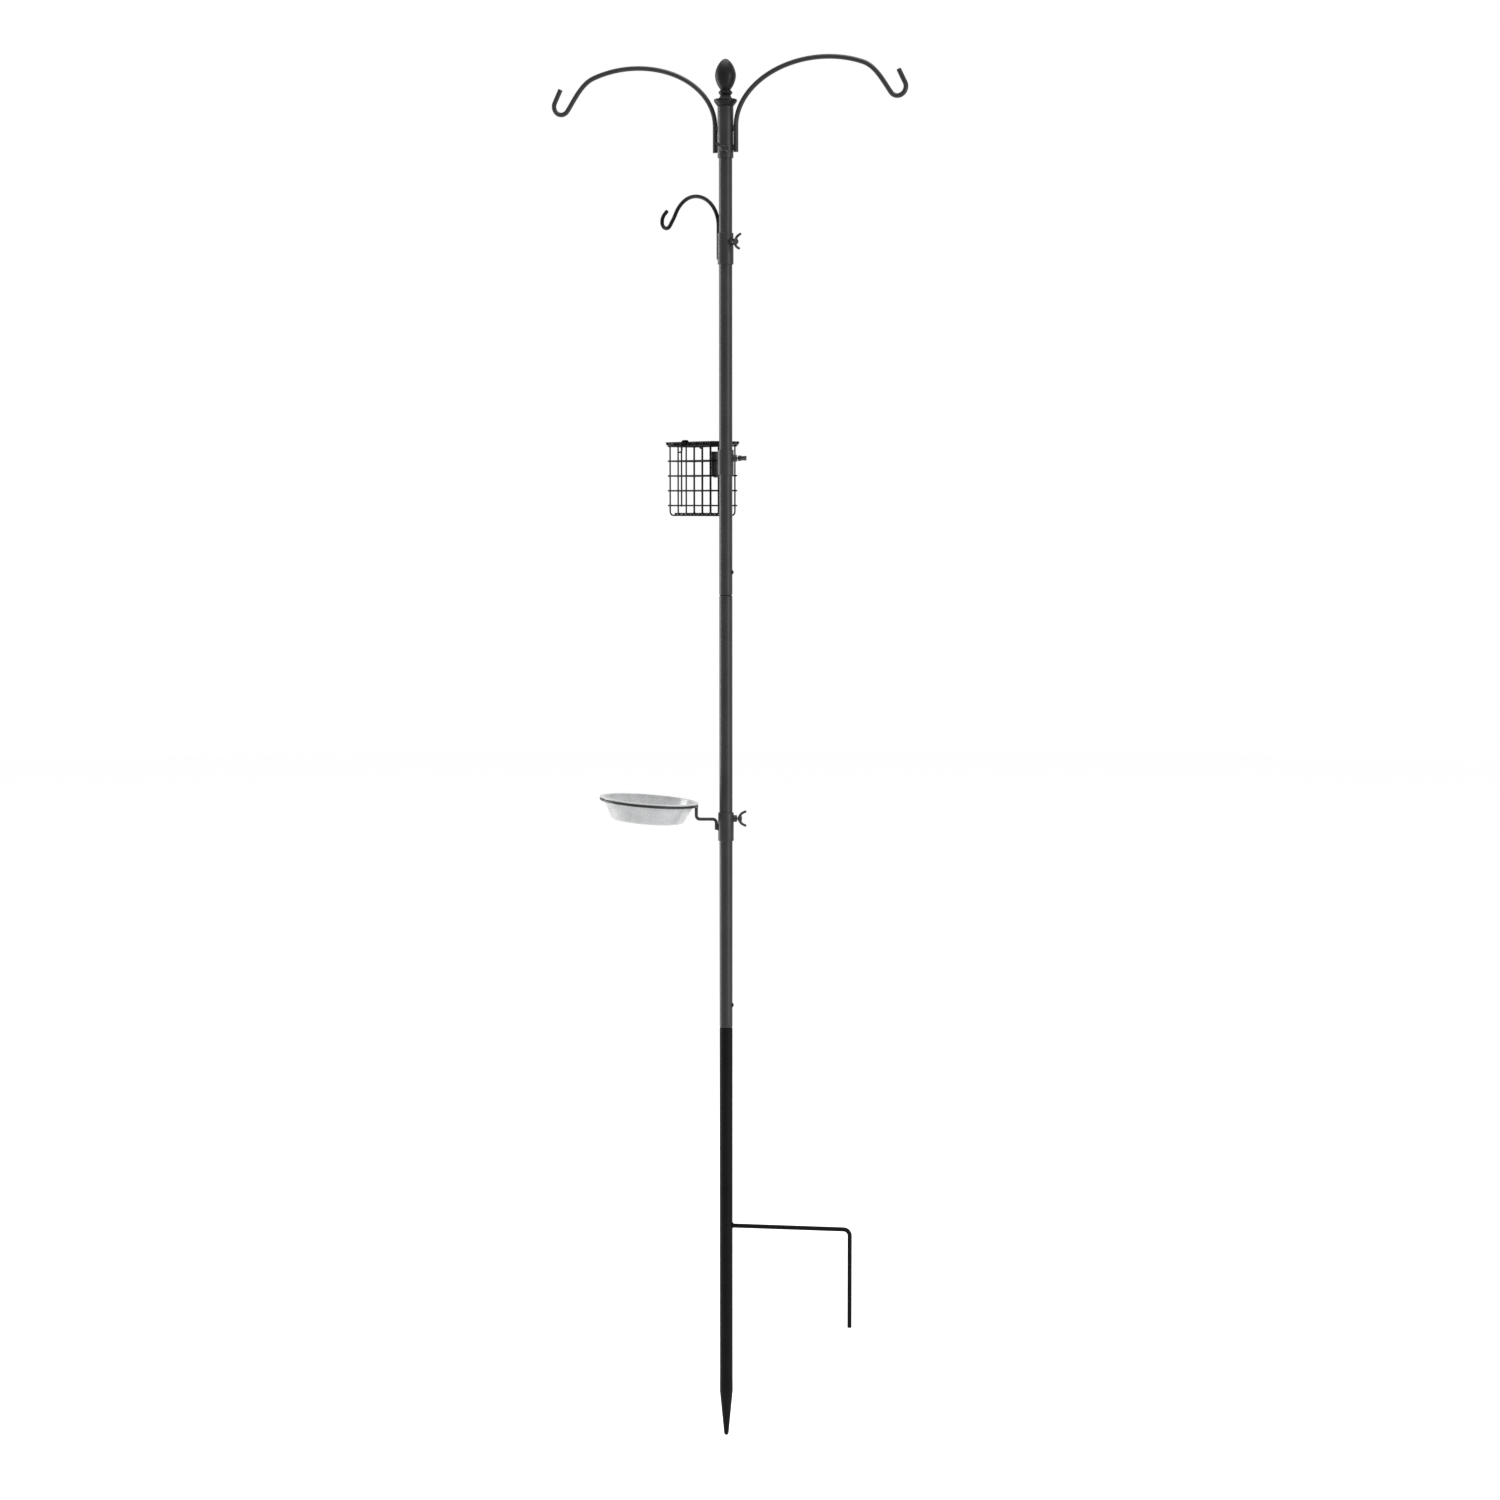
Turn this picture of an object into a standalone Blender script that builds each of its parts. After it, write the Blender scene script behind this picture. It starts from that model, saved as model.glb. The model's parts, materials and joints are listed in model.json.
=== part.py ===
"""Bird feeder on a three-section pole: hook arms, small hook, wire cage and dish, each on a clamp sleeve.

Metres, +Z up. The origin is on the pole's axis at ground level, and +X runs along the step-in foot bar.
Each unit that turns or slides on the pole hangs from its own empty on the pole's axis.
"""

from math import acos, cos, pi, radians, sin, tan

import bmesh
import bpy
from mathutils import Vector

GAP = 0.0003  # between pieces that touch on the real thing

# Pole: three tubes, each with a swaged spigot that fits up into the tube above it
POLE_RADIUS = 0.0110
POLE_BORE = 0.0098
SPIGOT_RADIUS = 0.0095
SPIGOT_BORE = 0.0083
SPIGOT_LENGTH = 0.070
SPIGOT_LEAD = (0.0004, 0.0020)  # how far its mouth draws in, and over what height
SEAM_SHOULDER = 0.0016  # height of the rolled shoulder under a seam
SWAGE_DEPTH = (0.004, 0.010)  # below the seam, between which the bore narrows to the spigot's
POLE_TOP_Z = 1.848
UPPER_SEAM_Z = 1.065
LOWER_SEAM_Z = 0.339
SPIKE_SHOULDER_Z = -0.285
SPIKE_TIP_Z = -0.362
SPIKE_TIP_RADIUS = 0.0040
SPIKE_SWELL = 0.0002  # where the tube is pressed before it narrows
SPIKE_NARROWING = (0.0010, 0.012)  # off the radius, below the shoulder
SPIKE_BORE_END = (0.006, -0.014, -0.020)  # heights from the shoulder at which the bore narrows and closes
SPIKE_BORE_SHARE = 0.7
ROUND_STEPS = 24

# Snap buttons, on +X, and the leaf springs behind them
BUTTON_ABOVE_SEAM = 0.038
BUTTON_RADIUS = 0.0040
BUTTON_HOLE_RADIUS = 0.0044
BUTTON_TIP_X = 0.0132
BUTTON_DOME = ((0.55, 0.0003), (0.88, 0.0009), (1.0, 0.0016))  # share of the radius, below the tip
BUTTON_HOLE_X = (0.004, 0.014)
BUTTON_LEG_X = 0.0064
SPRING_BACK_X = -0.0068
SPRING_LEG = 0.024
SPRING_TOP = (0.0055, 0.004)  # ends of the front and back legs above the button's middle
SPRING_THICKNESS = 0.0008
SPRING_WIDTH = 0.006

# Step-in foot bar
FOOT_ROD_RADIUS = 0.0037
FOOT_REACH = 0.210
FOOT_BEND = 0.0105
FOOT_PRONG_Z = -0.168
FOOT_BEAD = (0.0010, (0.0026, 0.0052, 0.0054))  # a weld bead: how far out of the tube, and its half sizes

# Clamp sleeves: every one has a weld nut and a wing screw that bears on the pole
SLEEVE_RADIUS = 0.0131
SLEEVE_BORE = 0.0114
SLEEVE_EDGE = 0.0008
NUT_ACROSS_CORNERS = 0.0118
NUT_OUTER_X = 0.0186
SCREW_HOLE_RADIUS = 0.0031
SCREW_SHANK_RADIUS = 0.0027
WING_HUB_RADIUS = 0.0046
WING_HUB_X = (0.0200, 0.0268)
WING_HUB_CROWN = (0.7, 0.0014)  # share of the radius at its outer face, and the slope's length
WING_HUB_EDGE = 0.0008
SCREW_POINT = 0.0006
SCREW_HOLE_X = (0.005, 0.030)
WING_ROD_RADIUS = 0.0021
WING_ROUTE = ((0.0225, 0.0), (0.0232, 0.0036), (0.0250, 0.0070), (0.0280, 0.0096), (0.0340, 0.0124))

# Arm unit, at the top of the pole
ARM_YAW = radians(-15)
ARM_SLEEVE_Z = (1.782, 1.866)
ARM_SCREW_Z = 1.7955
ARM_SCREW_YAW = radians(-74)  # from the arms' plane
ARM_SCREW_SPIN = radians(56)
ARM_WIRE_RADIUS = 0.0039
ARM_ROOT = 0.0187  # wire centre from the pole's axis
ARM_ROOT_Z = 1.791
ARM_SPRING_Z = 1.833  # where the straight foot of the arm turns into the arch
ARM_ARCH = (0.151, 0.103)
ARM_ARCH_END = 62  # degrees above the horizontal axis of the ellipse, on its outer side
ARM_HOOK_CENTRE = (0.3005, 1.8810)
ARM_HOOK_RADIUS = 0.0140
ARM_HOOK_START = -144
ARM_HOOK_END = 27
ARM_TIP_LENGTH = 0.024
ARM_LINK = (0.50, 0.070)  # how strongly the link leaves the arch and arrives at the hook
ARM_BEAD_Z = (1.7985, 1.8300)
ARM_BEAD = (0.0016, (0.0034, 0.0038, 0.0048))

# Small hook unit
HOOK_YAW = radians(143)
HOOK_SLEEVE_Z = (1.609, 1.660)
HOOK_SCREW_Z = 1.645
HOOK_SCREW_SPIN = radians(-8)
HOOK_WIRE_RADIUS = 0.0032
HOOK_ROOT = 0.0168
HOOK_ROOT_Z = 1.6180
HOOK_SPRING_Z = 1.672
HOOK_ARCH_TOP = (0.0750, 0.0530)  # apex distance from the axis, rise above the straight foot
HOOK_ARCH_OUTER = 0.052
HOOK_ARCH_END = 30
HOOK_CURL_CENTRE = (0.1415, 1.6880)
HOOK_CURL_RADIUS = 0.0110
HOOK_CURL_START = -142
HOOK_TIP_RADIUS = 0.0160  # the curl opens out to this on its outer side
HOOK_TIP_TURN = 52
HOOK_TIP_LENGTH = 0.0080
HOOK_LINK = (0.35, 0.018)
HOOK_BEAD_Z = (1.6250, 1.6480)
HOOK_BEAD = (0.0008, (0.0026, 0.0036, 0.0044))

# Cage clamp and cage. The cage's own axes: x across its width, y away from the pole.
CAGE_YAW = radians(45.6)
CAGE_SLEEVE_Z = (1.264, 1.3055)
CAGE_SCREW_Z = 1.2915
CAGE_SCREW_YAW = radians(-37)  # from the cage's x axis
CAGE_SCREW_SPIN = radians(82)
STRIP_THICKNESS = 0.0020
STRIP_WIDTH = 0.0140
STRIP_BEND = 0.0076
STRIP_TIP_Z = 1.3030
STRIP_BELOW_SLEEVE_TOP = 0.004
CAGE_WIRE_RADIUS = 0.0013
CAGE_NEAR_Y = 0.0220  # first hoop's wire, which hangs in the strip's bend
CAGE_LENGTH = 0.124
CAGE_X = (-0.014, 0.042)
CAGE_CORNER = 0.0050
CAGE_RIM_Z = 1.3130
CAGE_PITCH = 0.0249
CAGE_HOOPS = 5
CAGE_HANGS_BY = 2  # the third hoop down lies in the strip's bend
CAGE_BOTTOM_Z = 1.1970
CAGE_BOTTOM_BEND = 0.0065
CAGE_UPRIGHTS = 6
CAGE_UPRIGHT_INSET = 0.0045
CAGE_LONG_WIRES = (0.26, 0.76)  # share of the width
WIRE_PITCH = 2 * CAGE_WIRE_RADIUS + GAP  # wires that lie on each other
WIRE_END = 0.0021  # how far a cage wire runs past the middle of the wire that it is welded to
LID_OVERHANG = 0.0050
LID_CORNER = 0.0040
LID_CROSS_INSET = 0.0060
LID_HINGE_CURL = (90, -170)
LID_CROSS_WIRES = 7
LID_HINGE_WIRES = (1, 5)
LATCH_WIRE_RADIUS = 0.0012
LATCH_COIL_TURNS = 4
LATCH_FROM_NEAR_END = 0.072
LATCH_TAIL = 0.0120
LATCH_CURL_RADIUS = 0.0045
LATCH_CURL_TURN = -130

# Dish unit
DISH_YAW = radians(188.6)
DISH_SLEEVE_Z = (0.6545, 0.7020)
DISH_SCREW_Z = 0.6918
DISH_SCREW_SPIN = radians(0)
CRANK_RADIUS = 0.0027
CRANK_ROOT = 0.0161
CRANK_ROOT_Z = 0.6730
CRANK_RUN_Z = 0.6908
CRANK_REACH = 0.0495
CRANK_BEND = 0.0062
CRANK_TOP_Z = 0.7112
CRANK_BEAD_Z = 0.6770
CRANK_BEAD = (0.0006, (0.0024, 0.0034, 0.0056))
RING_RADIUS = 0.0805
RING_WIRE_RADIUS = 0.0022
RING_INNER_EDGE = 0.0483  # ring wire's centre nearest to the pole
RING_EDGE_Z = 0.7137
DISH_TILT = radians(4.5)  # the ring rises away from the pole
DISH_LIP_RADIUS = 0.0824
DISH_MOUTH_RADIUS = 0.0776
DISH_FLOOR_RADIUS = 0.0590
DISH_DEPTH = 0.0330
DISH_WALL = 0.0020
DISH_LIP_THICKNESS = 0.0022
DISH_FLOOR_BEND = 0.0085
DISH_WALL_SLOPE = 28  # degrees off upright, where the wall meets the bend
DISH_LIP_EDGES = (0.0012, 0.0008)  # at its mouth and at its rim

# Finial, on top of the arm sleeve: (radius, height above its seat)
FINIAL_SEAT_Z = ARM_SLEEVE_Z[1] + GAP
FINIAL_PLUG_RADIUS = 0.0110
FINIAL_PLUG = 0.015
EGG_RADIUS = 0.0173
EGG_CENTRE = 0.0490
EGG_UPPER = 0.0272
EGG_LOWER = 0.0275
EGG_POWER = 1.7  # of the superellipse: 2 is an ellipse, less is more pointed
FINIAL_NECK = (
    (0.0082, 0.0264),
    (0.0117, 0.0224),
    (0.0117, 0.0208),
    (0.0087, 0.0168),
    (0.0098, 0.0140),
    (0.0120, 0.0112),
    (0.0183, 0.0106),
    (0.0189, 0.0098),
    (0.0189, 0.0068),
    (0.0137, 0.0000),
)

FINISHES = {  # base colour, roughness, metallic
    "charcoal": ((0.032, 0.032, 0.034), 0.42, 0.0),
    "black": ((0.010, 0.010, 0.011), 0.45, 0.0),
    "zinc": ((0.45, 0.45, 0.46), 0.35, 1.0),
    "clear": ((0.72, 0.74, 0.75), 0.18, 0.0),
}


# ---------------------------------------------------------------- scene helpers


def clear_scene():
    for item in list(bpy.data.objects):
        bpy.data.objects.remove(item, do_unlink=True)


def new_collection(name):
    collection = bpy.data.collections.new(name)
    bpy.context.scene.collection.children.link(collection)
    return collection


def finish_of(name, style):
    colour, roughness, metallic = FINISHES[style]
    material = bpy.data.materials.new(name + "_finish")
    material.use_nodes = True
    shader = material.node_tree.nodes["Principled BSDF"]
    shader.inputs["Base Color"].default_value = (*colour, 1.0)
    shader.inputs["Roughness"].default_value = roughness
    shader.inputs["Metallic"].default_value = metallic
    return material


def place(name, data, style=None, parent=None, location=(0, 0, 0), rotation=(0, 0, 0)):
    """An object in the part's collection, or in the cutters' where it has no finish."""
    item = bpy.data.objects.new(name, data)
    if style:
        data.materials.append(finish_of(name, style))
        PARTS.objects.link(item)
    else:
        CUTTERS.objects.link(item)
        item.hide_render = True
        item.display_type = "WIRE"
    item.parent = parent
    item.location = location
    item.rotation_euler = rotation
    return item


def pivot(name, location=(0, 0, 0), rotation=(0, 0, 0), parent=None):
    empty = bpy.data.objects.new(name, None)
    PARTS.objects.link(empty)
    empty.parent = parent
    empty.location = location
    empty.rotation_euler = rotation
    empty.empty_display_size = 0.03
    return empty


def combine(target, tool, operation):
    """A live Boolean of the tool, which lies among the cutters."""
    modifier = target.modifiers.new(tool.name, "BOOLEAN")
    modifier.operation = operation
    modifier.object = tool


def solid_from(item):
    """The item's evaluated mesh, with a curve's loose caps welded; the item goes."""
    bpy.context.view_layer.update()
    seen = item.evaluated_get(bpy.context.evaluated_depsgraph_get())
    mesh = bpy.data.meshes.new_from_object(seen)
    work = bmesh.new()
    work.from_mesh(mesh)
    bmesh.ops.remove_doubles(work, verts=work.verts, dist=0.000001)
    work.to_mesh(mesh)
    work.free()
    bpy.data.objects.remove(item, do_unlink=True)
    return mesh


# ---------------------------------------------------------------- shape helpers


def arc(centre, radius, start, end, steps):
    """Points of an arc in the plane, angles in degrees; a pair of radii gives an ellipse's arc."""
    across, up = radius if isinstance(radius, tuple) else (radius, radius)
    turns = [radians(start + (end - start) * i / steps) for i in range(steps + 1)]
    return [(centre[0] + across * cos(t), centre[1] + up * sin(t)) for t in turns]


def bridge(start, start_way, end, end_way, steps):
    """Inner points of a smooth curve between two points, leaving and arriving along the given ways."""
    points = []
    for i in range(1, steps):
        t = i / steps
        a = 2 * t**3 - 3 * t**2 + 1
        b = t**3 - 2 * t**2 + t
        c = -2 * t**3 + 3 * t**2
        d = t**3 - t**2
        points.append(tuple(a * start[k] + b * start_way[k] + c * end[k] + d * end_way[k] for k in (0, 1)))
    return points


def rounded(corners, radius, steps=4, closed=False):
    """The polyline through the corners with each bend made an arc."""
    corners = [Vector(corner) for corner in corners]
    points = []
    for i, corner in enumerate(corners):
        if not closed and i in (0, len(corners) - 1):
            points.append(corner)
            continue
        back = (corners[i - 1] - corner).normalized()
        on = (corners[(i + 1) % len(corners)] - corner).normalized()
        half = back.angle(on) / 2
        centre = corner + (back + on).normalized() * radius / sin(half)
        first = corner + back * radius / tan(half) - centre
        last = corner + on * radius / tan(half) - centre
        sweep = pi - 2 * half
        for k in range(steps + 1):
            t = k / steps
            points.append(centre + (sin((1 - t) * sweep) * first + sin(t * sweep) * last) / sin(sweep))
    return points


def upright_plane(points):
    """Points (out, up) as points in the unit's XZ plane."""
    return [(out, 0, up) for out, up in points]


def wire(name, points, radius, style, parent=None, closed=False, location=(0, 0, 0), rotation=(0, 0, 0)):
    curve = bpy.data.curves.new(name, "CURVE")
    curve.dimensions = "3D"
    curve.bevel_depth = radius
    curve.bevel_resolution = 2
    curve.use_fill_caps = True
    spline = curve.splines.new("POLY")
    spline.points.add(len(points) - 1)
    for slot, point in zip(spline.points, points):
        slot.co = (*point, 1)
    spline.use_cyclic_u = closed
    return place(name, curve, style, parent, location, rotation)


def plate(name, outline, width, style, parent=None, location=(0, 0, 0)):
    """A flat outline in the unit's XZ plane, given a width along Y."""
    curve = bpy.data.curves.new(name, "CURVE")
    curve.dimensions = "2D"
    curve.fill_mode = "BOTH"
    curve.extrude = width / 2
    spline = curve.splines.new("POLY")
    spline.points.add(len(outline) - 1)
    for slot, point in zip(spline.points, outline):
        slot.co = (*point, 0, 1)
    spline.use_cyclic_u = True
    return place(name, curve, style, parent, location, (pi / 2, 0, 0))


def strip_outline(path, thickness):
    """The outline of a strip of even thickness bent along a path in the plane."""
    sides = ([], [])
    for i, point in enumerate(path):
        before = Vector(path[max(i - 1, 0)])
        after = Vector(path[min(i + 1, len(path) - 1)])
        way = (after - before).normalized()
        for side, sign in zip(sides, (1, -1)):
            offset = Vector((-way.y, way.x)) * sign * thickness / 2
            side.append(tuple(Vector(point) + offset))
    return sides[0] + sides[1][::-1]


def turned(name, profile, style=None, parent=None, closed=False, steps=ROUND_STEPS, rotation=(0, 0, 0)):
    """A profile of (radius, height), down its outer side, turned about Z."""
    mesh = bpy.data.meshes.new(name)
    count = len(profile)
    edges = [(i, (i + 1) % count) for i in range(count if closed else count - 1)]
    mesh.from_pydata([(out, 0, up) for out, up in profile], edges, [])
    item = place(name, mesh, style, parent, rotation=rotation)
    screw = item.modifiers.new("Turn", "SCREW")
    screw.steps = screw.render_steps = steps
    screw.use_merge_vertices = True
    screw.merge_threshold = 0.00001
    screw.use_smooth_shade = True
    return item


def cylinder(name, radius, low, high, style=None, parent=None, steps=24, along_x=False, yaw=0.0, z=0.0):
    """A cylinder along Z between two heights, or along X between two distances and then turned by yaw."""
    mesh = bpy.data.meshes.new(name)
    work = bmesh.new()
    radii = {"radius1": radius, "radius2": radius}
    bmesh.ops.create_cone(work, cap_ends=True, segments=steps, depth=high - low, **radii)
    bmesh.ops.translate(work, verts=work.verts, vec=(0, 0, (low + high) / 2))
    work.to_mesh(mesh)
    work.free()
    if along_x:
        tilt = pivot(name + "_axis", (0, 0, z), (0, 0, yaw), parent)
        return place(name, mesh, style, tilt, rotation=(0, pi / 2, 0))
    return place(name, mesh, style, parent)


def bead(name, centre, size, parent=None):
    """A weld bead, to be joined to a wire."""
    mesh = bpy.data.meshes.new(name)
    work = bmesh.new()
    bmesh.ops.create_uvsphere(work, u_segments=10, v_segments=8, radius=1)
    bmesh.ops.scale(work, verts=work.verts, vec=size)
    work.to_mesh(mesh)
    work.free()
    return place(name, mesh, None, parent, centre)


def welded_wire(name, points, radius, style, parent, beads, core_radius):
    """A wire joined to its weld beads and cut back to clear the tube that it is welded to."""
    curve = wire(name + "_curve", points, radius, None, parent)
    item = place(name, solid_from(curve), style, parent)
    for i, (centre, size) in enumerate(beads):
        combine(item, bead(f"{name}_bead_{i}", centre, size, parent), "UNION")
    low = min(point[2] for point in points) - 0.05
    high = max(point[2] for point in points) + 0.05
    combine(item, cylinder(name + "_core", core_radius + GAP, low, high, None, parent, 48), "DIFFERENCE")
    return item


# ---------------------------------------------------------------- clamp parts


def sleeve(name, span, parent, screw_yaw, screw_z):
    low, high = span
    profile = [
        (SLEEVE_BORE, high),
        (SLEEVE_RADIUS - SLEEVE_EDGE, high),
        (SLEEVE_RADIUS, high - SLEEVE_EDGE),
        (SLEEVE_RADIUS, low + SLEEVE_EDGE),
        (SLEEVE_RADIUS - SLEEVE_EDGE, low),
        (SLEEVE_BORE, low),
    ]
    item = turned(name, profile, "charcoal", parent, closed=True)
    hole = cylinder(
        name + "_screw_hole", SCREW_HOLE_RADIUS, *SCREW_HOLE_X, None, parent, 16, True, screw_yaw, screw_z
    )
    combine(item, hole, "DIFFERENCE")
    return hole


def weld_nut(name, parent, yaw, z, hole):
    radius = NUT_ACROSS_CORNERS / 2
    nut = cylinder(name, radius, SLEEVE_BORE, NUT_OUTER_X, "charcoal", parent, 6, True, yaw, z)
    core = cylinder(name + "_core", SLEEVE_RADIUS + GAP, z - 0.02, z + 0.02, None, parent, 48)
    combine(nut, core, "DIFFERENCE")
    combine(nut, hole, "DIFFERENCE")


def wing_screw_mesh():
    """One wing screw along +X, tip at the pole's surface, wings in the XZ plane."""
    low, high = WING_HUB_X
    tip = POLE_RADIUS + GAP
    profile = [
        (0, high),
        (WING_HUB_RADIUS * WING_HUB_CROWN[0], high),
        (WING_HUB_RADIUS, high - WING_HUB_CROWN[1]),
        (WING_HUB_RADIUS, low + WING_HUB_EDGE),
        (WING_HUB_RADIUS - WING_HUB_EDGE, low),
        (SCREW_SHANK_RADIUS, low),
        (SCREW_SHANK_RADIUS, tip + SCREW_POINT),
        (SCREW_SHANK_RADIUS - SCREW_POINT, tip),
        (0, tip),
    ]
    body = turned("wing_screw_body", profile, steps=20, rotation=(0, pi / 2, 0))
    for side, sign in (("upper", 1), ("lower", -1)):
        route = [(out, 0, sign * up) for out, up in WING_ROUTE]
        rod = wire(f"wing_screw_{side}_curve", route, WING_ROD_RADIUS, None)
        wing = place(f"wing_screw_{side}", solid_from(rod))
        combine(body, wing, "UNION")
    mesh = solid_from(body)
    for side in ("upper", "lower"):
        bpy.data.objects.remove(bpy.data.objects[f"wing_screw_{side}"], do_unlink=True)
    mesh.transform(turn_onto_x())
    mesh.shade_smooth()
    mesh.set_sharp_from_angle(angle=radians(40))
    return mesh


def turn_onto_x():
    """What the body's own rotation did, for a mesh that is read in the body's axes."""
    helper = bpy.data.objects.new("helper", None)
    helper.rotation_euler = (0, pi / 2, 0)
    matrix = helper.matrix_basis.copy()
    bpy.data.objects.remove(helper)
    return matrix


def wing_screw(name, mesh, parent, yaw, z, spin):
    place(name, mesh.copy(), "charcoal", parent, (0, 0, z), (spin, 0, yaw))


def clamp(name, span, parent, screw_yaw, screw_z, spin, screw_mesh):
    hole = sleeve(name + "_sleeve", span, parent, screw_yaw, screw_z)
    weld_nut(name + "_weld_nut", parent, screw_yaw, screw_z, hole)
    wing_screw(name + "_wing_screw", screw_mesh, parent, screw_yaw, screw_z, spin)


# ---------------------------------------------------------------- pole


def button_hole(name, z):
    return cylinder(name, BUTTON_HOLE_RADIUS, *BUTTON_HOLE_X, None, None, 20, True, 0.0, z)


def upper_pole():
    profile = [
        (POLE_BORE, POLE_TOP_Z),
        (POLE_RADIUS, POLE_TOP_Z),
        (POLE_RADIUS, UPPER_SEAM_Z + GAP),
        (POLE_BORE, UPPER_SEAM_Z + GAP),
    ]
    item = turned("upper_pole", profile, "charcoal", closed=True)
    combine(item, button_hole("upper_pole_button_hole", UPPER_SEAM_Z + BUTTON_ABOVE_SEAM), "DIFFERENCE")


def spigot_profile(seam):
    """Bore, spigot and shoulder, from inside the tube to its outer wall below the seam."""
    top = seam + SPIGOT_LENGTH
    narrow, wide = SWAGE_DEPTH
    draw, height = SPIGOT_LEAD
    return [
        (POLE_BORE, seam - wide),
        (SPIGOT_BORE, seam - narrow),
        (SPIGOT_BORE, top),
        (SPIGOT_RADIUS - draw, top),
        (SPIGOT_RADIUS, top - height),
        (SPIGOT_RADIUS, seam + GAP),
        (SPIGOT_RADIUS + GAP, seam),
        (POLE_RADIUS, seam - SEAM_SHOULDER),
    ]


def middle_pole():
    low = LOWER_SEAM_Z + GAP
    profile = [(POLE_BORE, low), *spigot_profile(UPPER_SEAM_Z), (POLE_RADIUS, low)]
    item = turned("middle_pole", profile, "charcoal", closed=True)
    combine(item, button_hole("middle_spigot_hole", UPPER_SEAM_Z + BUTTON_ABOVE_SEAM), "DIFFERENCE")
    combine(item, button_hole("middle_pole_button_hole", LOWER_SEAM_Z + BUTTON_ABOVE_SEAM), "DIFFERENCE")


def lower_pole():
    """Its foot is drawn down to a blunt point, so the bore ends above it."""
    tip = arc((0, SPIKE_TIP_Z + SPIKE_TIP_RADIUS), SPIKE_TIP_RADIUS, 0, -90, 4)
    straight, narrow, closed = (SPIKE_SHOULDER_Z + height for height in SPIKE_BORE_END)
    off, below = SPIKE_NARROWING
    profile = [
        (0, closed),
        (POLE_BORE * SPIKE_BORE_SHARE, narrow),
        (POLE_BORE, straight),
        *spigot_profile(LOWER_SEAM_Z),
        (POLE_RADIUS, SPIKE_SHOULDER_Z + below),
        (POLE_RADIUS + SPIKE_SWELL, SPIKE_SHOULDER_Z),
        (POLE_RADIUS - off, SPIKE_SHOULDER_Z - below),
        *tip[:-1],
        (0, SPIKE_TIP_Z),
    ]
    item = turned("lower_pole", profile, "black")
    combine(item, button_hole("lower_spigot_hole", LOWER_SEAM_Z + BUTTON_ABOVE_SEAM), "DIFFERENCE")


def snap_button(where, seam):
    """Button and the spring leg that carries it, and the back leg with the bend."""
    centre = seam + BUTTON_ABOVE_SEAM
    button_name = where + "_snap_button"
    front_top, back_top = SPRING_TOP
    profile = [
        (0, BUTTON_TIP_X),
        *[(BUTTON_RADIUS * share, BUTTON_TIP_X - below) for share, below in BUTTON_DOME],
        (BUTTON_RADIUS, BUTTON_LEG_X),
        (0, BUTTON_LEG_X),
    ]
    seat = pivot(button_name + "_seat", (0, 0, centre))
    button = turned(button_name, profile, "zinc", seat, steps=20, rotation=(0, pi / 2, 0))
    front = strip_outline(
        [(BUTTON_LEG_X, front_top), (BUTTON_LEG_X, SPRING_THICKNESS - SPRING_LEG)], SPRING_THICKNESS
    )
    front = plate(button_name + "_leg_curve", front, SPRING_WIDTH, None, seat)
    leg = place(button_name + "_leg", solid_from(front), None, seat, rotation=(pi / 2, 0, 0))
    combine(button, leg, "UNION")
    bend = (BUTTON_LEG_X - SPRING_BACK_X) / 2
    middle = (BUTTON_LEG_X + SPRING_BACK_X) / 2
    back = [(SPRING_BACK_X, back_top), *arc((middle, -SPRING_LEG), bend, 180, 360, 10)]
    plate(where + "_button_spring", strip_outline(back, SPRING_THICKNESS), SPRING_WIDTH, "zinc", seat)


def foot_bar():
    corners = [(POLE_RADIUS - 0.002, 0, 0), (FOOT_REACH, 0, 0), (FOOT_REACH, 0, FOOT_PRONG_Z)]
    points = rounded(corners, FOOT_BEND, 6)
    out, size = FOOT_BEAD
    beads = [((POLE_RADIUS + out, 0, 0), size)]
    welded_wire("foot_bar", points, FOOT_ROD_RADIUS, "black", None, beads, POLE_RADIUS)


# ---------------------------------------------------------------- arms and finial


def arm_route():
    across, rise = ARM_ARCH
    arch = arc((ARM_ROOT + across, ARM_SPRING_Z), (across, rise), 180, ARM_ARCH_END, 16)
    hook = arc(ARM_HOOK_CENTRE, ARM_HOOK_RADIUS, ARM_HOOK_START, ARM_HOOK_END, 10)
    leave = radians(ARM_ARCH_END)
    pull, push = ARM_LINK
    fall = (across * sin(leave) * pull, -rise * cos(leave) * pull)
    start = radians(ARM_HOOK_START)
    arrive = (-sin(start) * push, cos(start) * push)
    link = bridge(arch[-1], fall, hook[0], arrive, 8)
    end = radians(ARM_HOOK_END)
    tip = (hook[-1][0] - sin(end) * ARM_TIP_LENGTH, hook[-1][1] + cos(end) * ARM_TIP_LENGTH)
    return [(ARM_ROOT, ARM_ROOT_Z), *arch, *link, *hook, tip]


def arm(name, side, parent):
    points = [(side * out, 0, up) for out, up in arm_route()]
    out, size = ARM_BEAD
    beads = [((side * (SLEEVE_RADIUS + out), 0, z), size) for z in ARM_BEAD_Z]
    welded_wire(name, points, ARM_WIRE_RADIUS, "charcoal", parent, beads, SLEEVE_RADIUS)


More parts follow.
